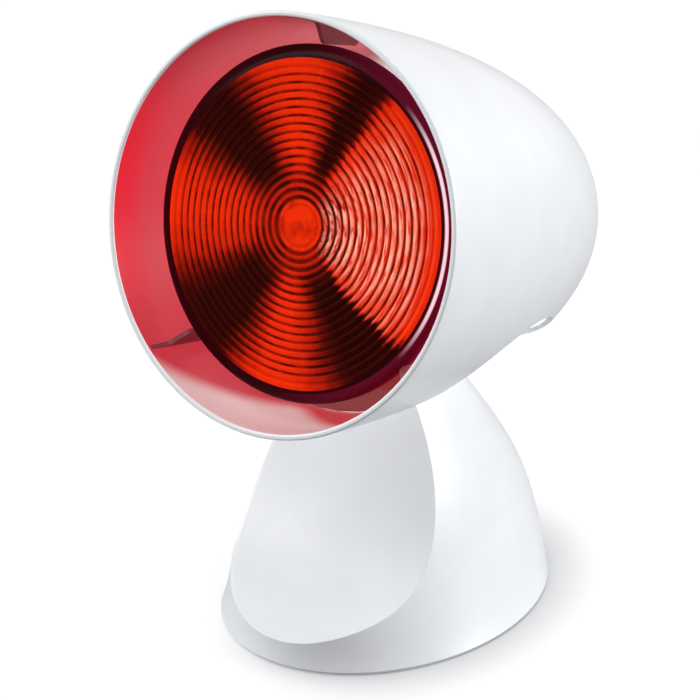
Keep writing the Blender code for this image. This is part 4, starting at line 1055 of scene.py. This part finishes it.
# %% The scooped face
FACE_SHARES = ((-0.928, 0.130), (-0.641, 0.262), (-0.320, 0.229), (-0.192, 1.183))
FACE_CROWN = 3 * MM
FACE_HALF = 40 * MM
FACE_SWELL_SHARE = 0.4
FACE_COLUMNS = 48
FACE_ROWS = 60
FACE_REACH = FOOT_SIDE * 1.1
FACE_RUN_ON = FOOT_LENGTH / 6


def face_line():
    """Side view of the face, run on past the toe and past the top of the neck."""
    line = guide(FACE_SHARES, FOOT_HALF, FACE_ROWS)
    (y0, z0), (y1, z1) = line[0], line[1]
    reach = FACE_RUN_ON / math.hypot(y1 - y0, z1 - z0)
    return [(y0 - (y1 - y0) * reach, z0 - (z1 - z0) * reach)] + line


def face_edge(y, height):
    """Half width of the foot where the face meets its side wall."""
    side, front, rear = foot_section(height)
    offset = (y - (front + rear) / 2) / ((rear - front) / 2)
    return side * math.sqrt(max(0.0, 1 - offset ** 2))


def face_rows(drop):
    """The face as rows of points, moved inwards by the drop."""
    rows = []
    line = face_line()
    across = [(2 * j / FACE_COLUMNS - 1) * FACE_REACH for j in range(FACE_COLUMNS + 1)]
    for i, ((y, z), (back, low)) in enumerate(zip(line, moved_left(line, -drop))):
        crown = FACE_CROWN * math.sin(math.pi / 2 * min(1.0, i / len(line) / FACE_SWELL_SHARE))
        edge = face_edge(y, z)
        swell = [crown * (edge ** 2 - x ** 2) / FACE_HALF ** 2 for x in across]
        rows.append([(x, back - forward, low) for x, forward in zip(across, swell)])
    return rows


print("face runs in mm, along and up:", [in_mm(*face_line()[i]) for i in (0, -1)])

# %% Solids from the face
COVER_THICK = 2.2 * MM
COVER_LIP = 0.8 * MM
HAIRLINE = 0.03 * MM


def slab(name, near, far):
    rings = [list(front) + list(reversed(back)) for front, back in zip(near, far)]
    return loft(name, rings, foot)


def ahead_of_face(name, drop):
    """Everything in front of the face, from a distance behind its surface."""
    back = face_rows(drop)
    return slab(name, [[(x, -FOOT_LENGTH, z) for x, y, z in row] for row in back], back)


def cover_seat():
    limit = foot_solid("seat_limit", COVER_LIP)
    return boolean(ahead_of_face("seat_tool", COVER_THICK + HAIRLINE), "INTERSECT", limit)


print("cover in mm, thickness and lip:", in_mm(COVER_THICK, COVER_LIP))

# %% [markdown]
# The neck has a slot for the shade's tongue and a blind bore on each side for the axle's plug. The
# switch and the cord inlet sit in flat seats in the rear wall, square to its slope there, so each
# gets an empty on the wall whose Z points straight out.

# %% Openings in the neck
SLOT_HALF = 7.4 * MM
SLOT_DROP = 9.5 * MM
BORE = 12 * MM
PLUG_RADIUS = 4.6 * MM
PLUG_THICK = 5 * MM
AXLE_HALF = 16 * MM
HOLE_STEPS = 48


def side_bore(side):
    bore = rod("plug_bore", PLUG_RADIUS + SEAM, -BORE / 2, BORE / 2, neck, HOLE_STEPS)
    return place(bore, (side * (AXLE_HALF + SEAM + BORE / 2), 0, 0), SIDEWAYS)


def hinge_slot():
    size = (2 * SLOT_HALF, FOOT_LENGTH, 2 * (SLOT_DROP + BORE))
    return box("slot_tool", size, neck, (0, 0, BORE))


print("slot in mm, width and drop:", in_mm(2 * SLOT_HALF, SLOT_DROP))


# %% Seats in the rear wall
SWITCH_HEIGHT = 38 * MM
INLET_HEIGHT = 16 * MM
WALL_SPAN = 3 * MM
SEAT_DEPTH = 2.2 * MM
BEZEL = (21 * MM, 15 * MM)
CORE = (19 * MM, 12.6 * MM)
INLET_RADIUS = 7 * MM


def rear_lean(height):
    below, above = read_guide(REAR, height - WALL_SPAN), read_guide(REAR, height + WALL_SPAN)
    return (-math.pi / 2 + math.atan2(below - above, 2 * WALL_SPAN), 0, 0)


def rear_seat(name, height):
    """An empty on the rear wall whose Z points straight out of it."""
    spot = (0, FOOT_MIDDLE + read_guide(REAR, height), height)
    return seat(name, "base", spot, rear_lean(height))


switch_seat = rear_seat("switch_seat", SWITCH_HEIGHT)
inlet_seat = rear_seat("inlet_seat", INLET_HEIGHT)


def rear_tools():
    wide = (BEZEL[0] + 2 * SEAM, BEZEL[1] + 2 * SEAM, BORE)
    deep = (CORE[0] + 2 * SEAM, CORE[1] + 2 * SEAM, 2 * BORE)
    return [box("bezel_tool", wide, switch_seat, (0, 0, BORE / 2 - SEAT_DEPTH)),
            box("core_tool", deep, switch_seat),
            rod("inlet_tool", INLET_RADIUS + SEAM, -SEAT_DEPTH, BORE, inlet_seat, HOLE_STEPS)]


print("seats on the rear wall in mm:", in_mm(*switch_seat.location), in_mm(*inlet_seat.location))


# %% Build the housing and the face cover
def build_housing():
    shape = foot_solid("housing_shape")
    boolean(shape, "DIFFERENCE", foot_hollow(), ahead_of_face("face_tool", 0), cover_seat(),
            hinge_slot(), side_bore(-1), side_bore(1), *rear_tools())
    return settle("housing", shape, "base", white_plastic)


def build_cover():
    shape = foot_solid("cover_shape", COVER_LIP + HAIRLINE)
    boolean(shape, "INTERSECT", slab("face_slab", face_rows(0), face_rows(COVER_THICK)))
    return settle("face_cover", shape, "base", face_plastic)


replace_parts(build_housing(), "base_housing")
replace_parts(build_cover(), "front_cover")

# %% [markdown]
# ## Small pieces on the foot
# The plugs that hide the axle, the rocker switch with its frame, the inlet's rubber bush and the
# rubber feet are small, but a soft edge catches the light on each, so they get rounded profiles.

# %% Axle plugs and rubber feet
DISC_STEPS = 64
PLUG_ROUND = 0.4 * MM
PAD_ROUND = 0.5 * MM


def soft_disc(name, radius, high, parent, edge):
    """A disc whose upper edge is rounded."""
    side = arc((radius - edge, high - edge), edge, 90, 0, LIP_SAMPLES) + [(radius, 0), (0, 0)]
    return turned(name, [(0, high)] + side, parent, DISC_STEPS)


def build_plug(name, side):
    disc = soft_disc("plug_shape", PLUG_RADIUS, PLUG_THICK, neck, PLUG_ROUND)
    place(disc, (side * (AXLE_HALF + 2 * SEAM), 0, 0), (0, side * math.pi / 2, 0))
    return settle(name, disc, "base", white_plastic)


def build_pad(name, middle, low, high):
    disc = soft_disc("pad_shape", (high.x - low.x) / 2, high.z - low.z, foot, PAD_ROUND)
    place(disc, (middle.x, middle.y - FOOT_MIDDLE, high.z), (math.pi, 0, 0))
    return settle(name, disc, "base", black_rubber)


for number, side in enumerate((-1, 1), 1):
    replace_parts(build_plug("plug_%d" % number, side), "axle_plug_%d" % number)
for number, middle in enumerate(FEET, 1):
    pad = build_pad("pad_%d" % number, middle, *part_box("rubber_foot_%d" % number))
    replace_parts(pad, "rubber_foot_%d" % number)

# %% [markdown]
# The switch is a frame with a well, and a rocker that stands in it with room to tip. The rocker is
# a plate across its own axle: its outline has a keel below, and one half higher than the other.

# %% Frame of the switch
BEZEL_THICK = 1.8 * MM
BEZEL_ROUND = 0.5 * MM
ROCKER_WIDTH = 16 * MM
ROCKER_TALL = 10 * MM
ROCKER_PLAY = 0.8 * MM
SWITCH_DEEP = 13 * MM


def build_bezel():
    middle = BEZEL_THICK / 2 - SEAT_DEPTH + SEAM
    shape = box("bezel_shape", (*BEZEL, BEZEL_THICK), switch_seat, (0, 0, middle))
    core = box("core", (*CORE, SWITCH_DEEP), switch_seat, (0, 0, middle - SWITCH_DEEP / 2))
    well = (ROCKER_WIDTH + 2 * SEAM, ROCKER_TALL + 2 * ROCKER_PLAY, ROCKER_TALL + 2 * SEAT_DEPTH)
    boolean(rounded(shape, BEZEL_ROUND), "UNION", core)
    boolean(shape, "DIFFERENCE", box("well", well, switch_seat))
    return settle("switch_frame", shape, "base", dark_plastic)


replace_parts(build_bezel(), "switch_body")

# %% Rocker
ROCKER_PROUD = 1.6 * MM
ROCKER_RAISED = ROCKER_PROUD * 1.6
ROCKER_KEEL = ROCKER_TALL / 2 * 0.6
ROCKER_ROUND = 0.35 * MM
ROCKER_PLACE = JOINTS["switch_rocker"]["pos_m"], rear_lean(SWITCH_HEIGHT)
rocker_seat = seat("rocker_axis", "rocker", *ROCKER_PLACE)


def build_rocker():
    half = ROCKER_TALL / 2
    outline = [(-half, 0), (-ROCKER_KEEL, -ROCKER_KEEL), (ROCKER_KEEL, -ROCKER_KEEL), (half, 0),
               (half, ROCKER_RAISED), (0, ROCKER_PROUD), (-half, ROCKER_PROUD)]
    shape = rounded(flat_plate("rocker_shape", outline, ROCKER_WIDTH, rocker_seat), ROCKER_ROUND)
    place(shape, rotation=(math.pi / 2, 0, math.pi / 2))
    return settle("rocker", shape, "rocker", black_plastic)


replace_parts(build_rocker(), "switch_rocker")

# %% [markdown]
# The cord enters through a rubber bush. It is turned, with a round lip that lies on the wall and a
# thinner neck behind it. The photograph shows no cord, so the bore stays a blind dark hole.

# %% Bush of the cord inlet
BUSH_NECK = 5 * MM
BUSH_BORE = 3.4 * MM
BUSH_LIP = 2.6 * MM
BUSH_ROUND = 1.3 * MM
BUSH_CHAMFER = 0.5 * MM
BUSH_BACKING = 4 * MM


def build_bush():
    low = -SEAT_DEPTH - BUSH_BACKING
    lip = (INLET_RADIUS - BUSH_ROUND, BUSH_LIP - BUSH_ROUND)
    outline = [(BUSH_BORE, low), (BUSH_BORE, BUSH_LIP - BUSH_CHAMFER),
               (BUSH_BORE + BUSH_CHAMFER, BUSH_LIP)]
    outline += arc(lip, BUSH_ROUND, 90, 0, ROUND_SAMPLES)
    outline += [(INLET_RADIUS, 0), (BUSH_NECK, 0), (BUSH_NECK, low), (BUSH_BORE, low)]
    shape = turned("bush_shape", outline, inlet_seat, DISC_STEPS)
    return settle("inlet_bush", place(shape, (0, 0, SEAM - SEAT_DEPTH)), "base", black_rubber)


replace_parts(build_bush(), "cord_inlet")

# %% [markdown]
# ## Carried-over pieces
# The remaining pieces are right as the CAD made them. Each gets its finish here, and screws, axle
# and washers share the plated steel. A name that ends in _ stands for a numbered row of pieces.

# %% Dress the CAD nodes
FINISHES = {
    steel: ("plate_screw_", "bracket_screw_", "saddle_screw_", "socket_screw_", "hinge_axle",
            "friction_washer_", "socket_bracket", "filament_support_"),
    dark_plastic: ("base_plate",),
    black_plastic: ("cap_insulator",),
    black_rubber: ("supply_lead",),
    cast_iron: ("ballast_weight",),
    saddle_painted_glow: ("hinge_saddle",),
    porcelain: ("lamp_socket", "terminal_block"),
    brass: ("socket_thread", "socket_contact"),
    nickel: ("bulb_cap", "bulb_contact"),
    sleeve: ("socket_lead",),
    mirror: ("bulb_reflector", "glass_stem"),
    tungsten: ("filament",),
}


def dress_nodes():
    dressed = 0
    for graph, names in FINISHES.items():
        rows = tuple(name for name in names if name.endswith("_"))
        for name, node in frame["nodes"].items():
            if name in names or name.startswith(rows):
                dress(node, graph)
                dressed += 1
    return dressed


print("CAD nodes dressed:", dress_nodes())

# %% [markdown]
# ## Floor and light
# The photograph is a cut-out on white with a soft shadow that hugs the foot on its right. The floor
# is a mid grey, so that it throws little light back up, and adds light of its own for the camera
# only, more of it far out, where the lamps hardly reach. It reads as white wherever nothing shades
# it. An Ambient Occlusion node dims that light close to whatever stands on the floor, less so on
# the side where the left lamp shines in.

# %% Floor
FLOOR_GREY = light_of(150, 151, 153)
FLOOR_HALF = 6
FLOOR_LIFT = 0.72
FLOOR_FADE = 0.6, 2
SHADOW_REACH = 30 * MM
SHADOW_DEPTH = 2.0
SHADOW_SIDES = 0.2, 1
SHADOW_TURNS = -50 * MM, 40 * MM


def floor_finish():
    graph = finish("white_floor", Roughness=0.9, Base_Color=FLOOR_GREY)
    seen = Wave(graph, graph.node("LightPath").outputs["Is Camera Ray"])
    occlusion = graph.node("AmbientOcclusion", None, {"Distance": SHADOW_REACH})
    opening = Wave(graph, occlusion.outputs["AO"])
    across, back, _ = graph.axes()
    side = across.step(*SHADOW_TURNS).between(*SHADOW_SIDES)
    shaded = (1 - opening ** SHADOW_DEPTH) * side
    lift = off_axis(across, back).step(*FLOOR_FADE).between(FLOOR_LIFT, 1)
    strength = seen * lift * (1 - shaded)
    glow = graph.node("Emission", None, {"Color": (1, 1, 1), "Strength": strength})
    both = graph.node("AddShader", None, {0: graph.shader.outputs[0], 1: glow.outputs[0]})
    graph.feed(graph.tree.nodes["Material Output"].inputs[0], both.outputs[0])
    return graph


def build_floor():
    mesh = bpy.data.meshes.new("floor")
    corners = ((-1, -1), (1, -1), (1, 1), (-1, 1))
    mesh.from_pydata([(x * FLOOR_HALF, y * FLOOR_HALF, 0) for x, y in corners], [], [range(4)])
    return dress(add_object("floor", mesh), floor_finish())


build_floor()
print("floor in metres:", 2 * FLOOR_HALF, "square")

# %% [markdown]
# The world is plain white to the camera and in reflections, and only a dim white as a light.

# %% World
WORLD_LIGHT = 0.06


def build_world():
    world = bpy.data.worlds.new("studio")
    bpy.context.scene.world = world
    graph = Graph(world, "Background")
    path = graph.node("LightPath").outputs
    seen = Wave(graph, path["Is Camera Ray"])
    for kind in ("Is Glossy Ray", "Is Transmission Ray"):
        seen = seen.math("MAXIMUM", Wave(graph, path[kind]))
    graph.set("Color", (1, 1, 1))
    graph.set("Strength", seen.between(WORLD_LIGHT, 1))
    return world


print("world:", build_world().name, "with light", WORLD_LIGHT)

# %% [markdown]
# Two large soft lamps stand on the left and right of the camera, each about 80 degrees or more away
# from it, so what faces the camera is the greyest. They only fill, and cast no shadow. A third one
# hangs overhead and casts soft shadows. All are far away, so the floor stays evenly white.

# %% Lamps
LAMP_DISTANCE = 5
LAMP_SIZE = 3.6


def softbox(name, azimuth, elevation, watts, shadow):
    data = bpy.data.lights.new(name, "AREA")
    data.shape = "DISK"
    data.size = LAMP_SIZE
    data.energy = watts
    data.use_shadow = shadow
    lamp = add_object(name, data)
    lamp.location = on_sphere(azimuth, elevation, LAMP_DISTANCE)
    aim_at(lamp, AIM)
    print(name, "gives", watts, "W")


softbox("left_light", -54, 28, 218, False)
softbox("right_light", 116, 20, 236, False)
softbox("top_light", 45, 70, 60, True)

# %% [markdown]
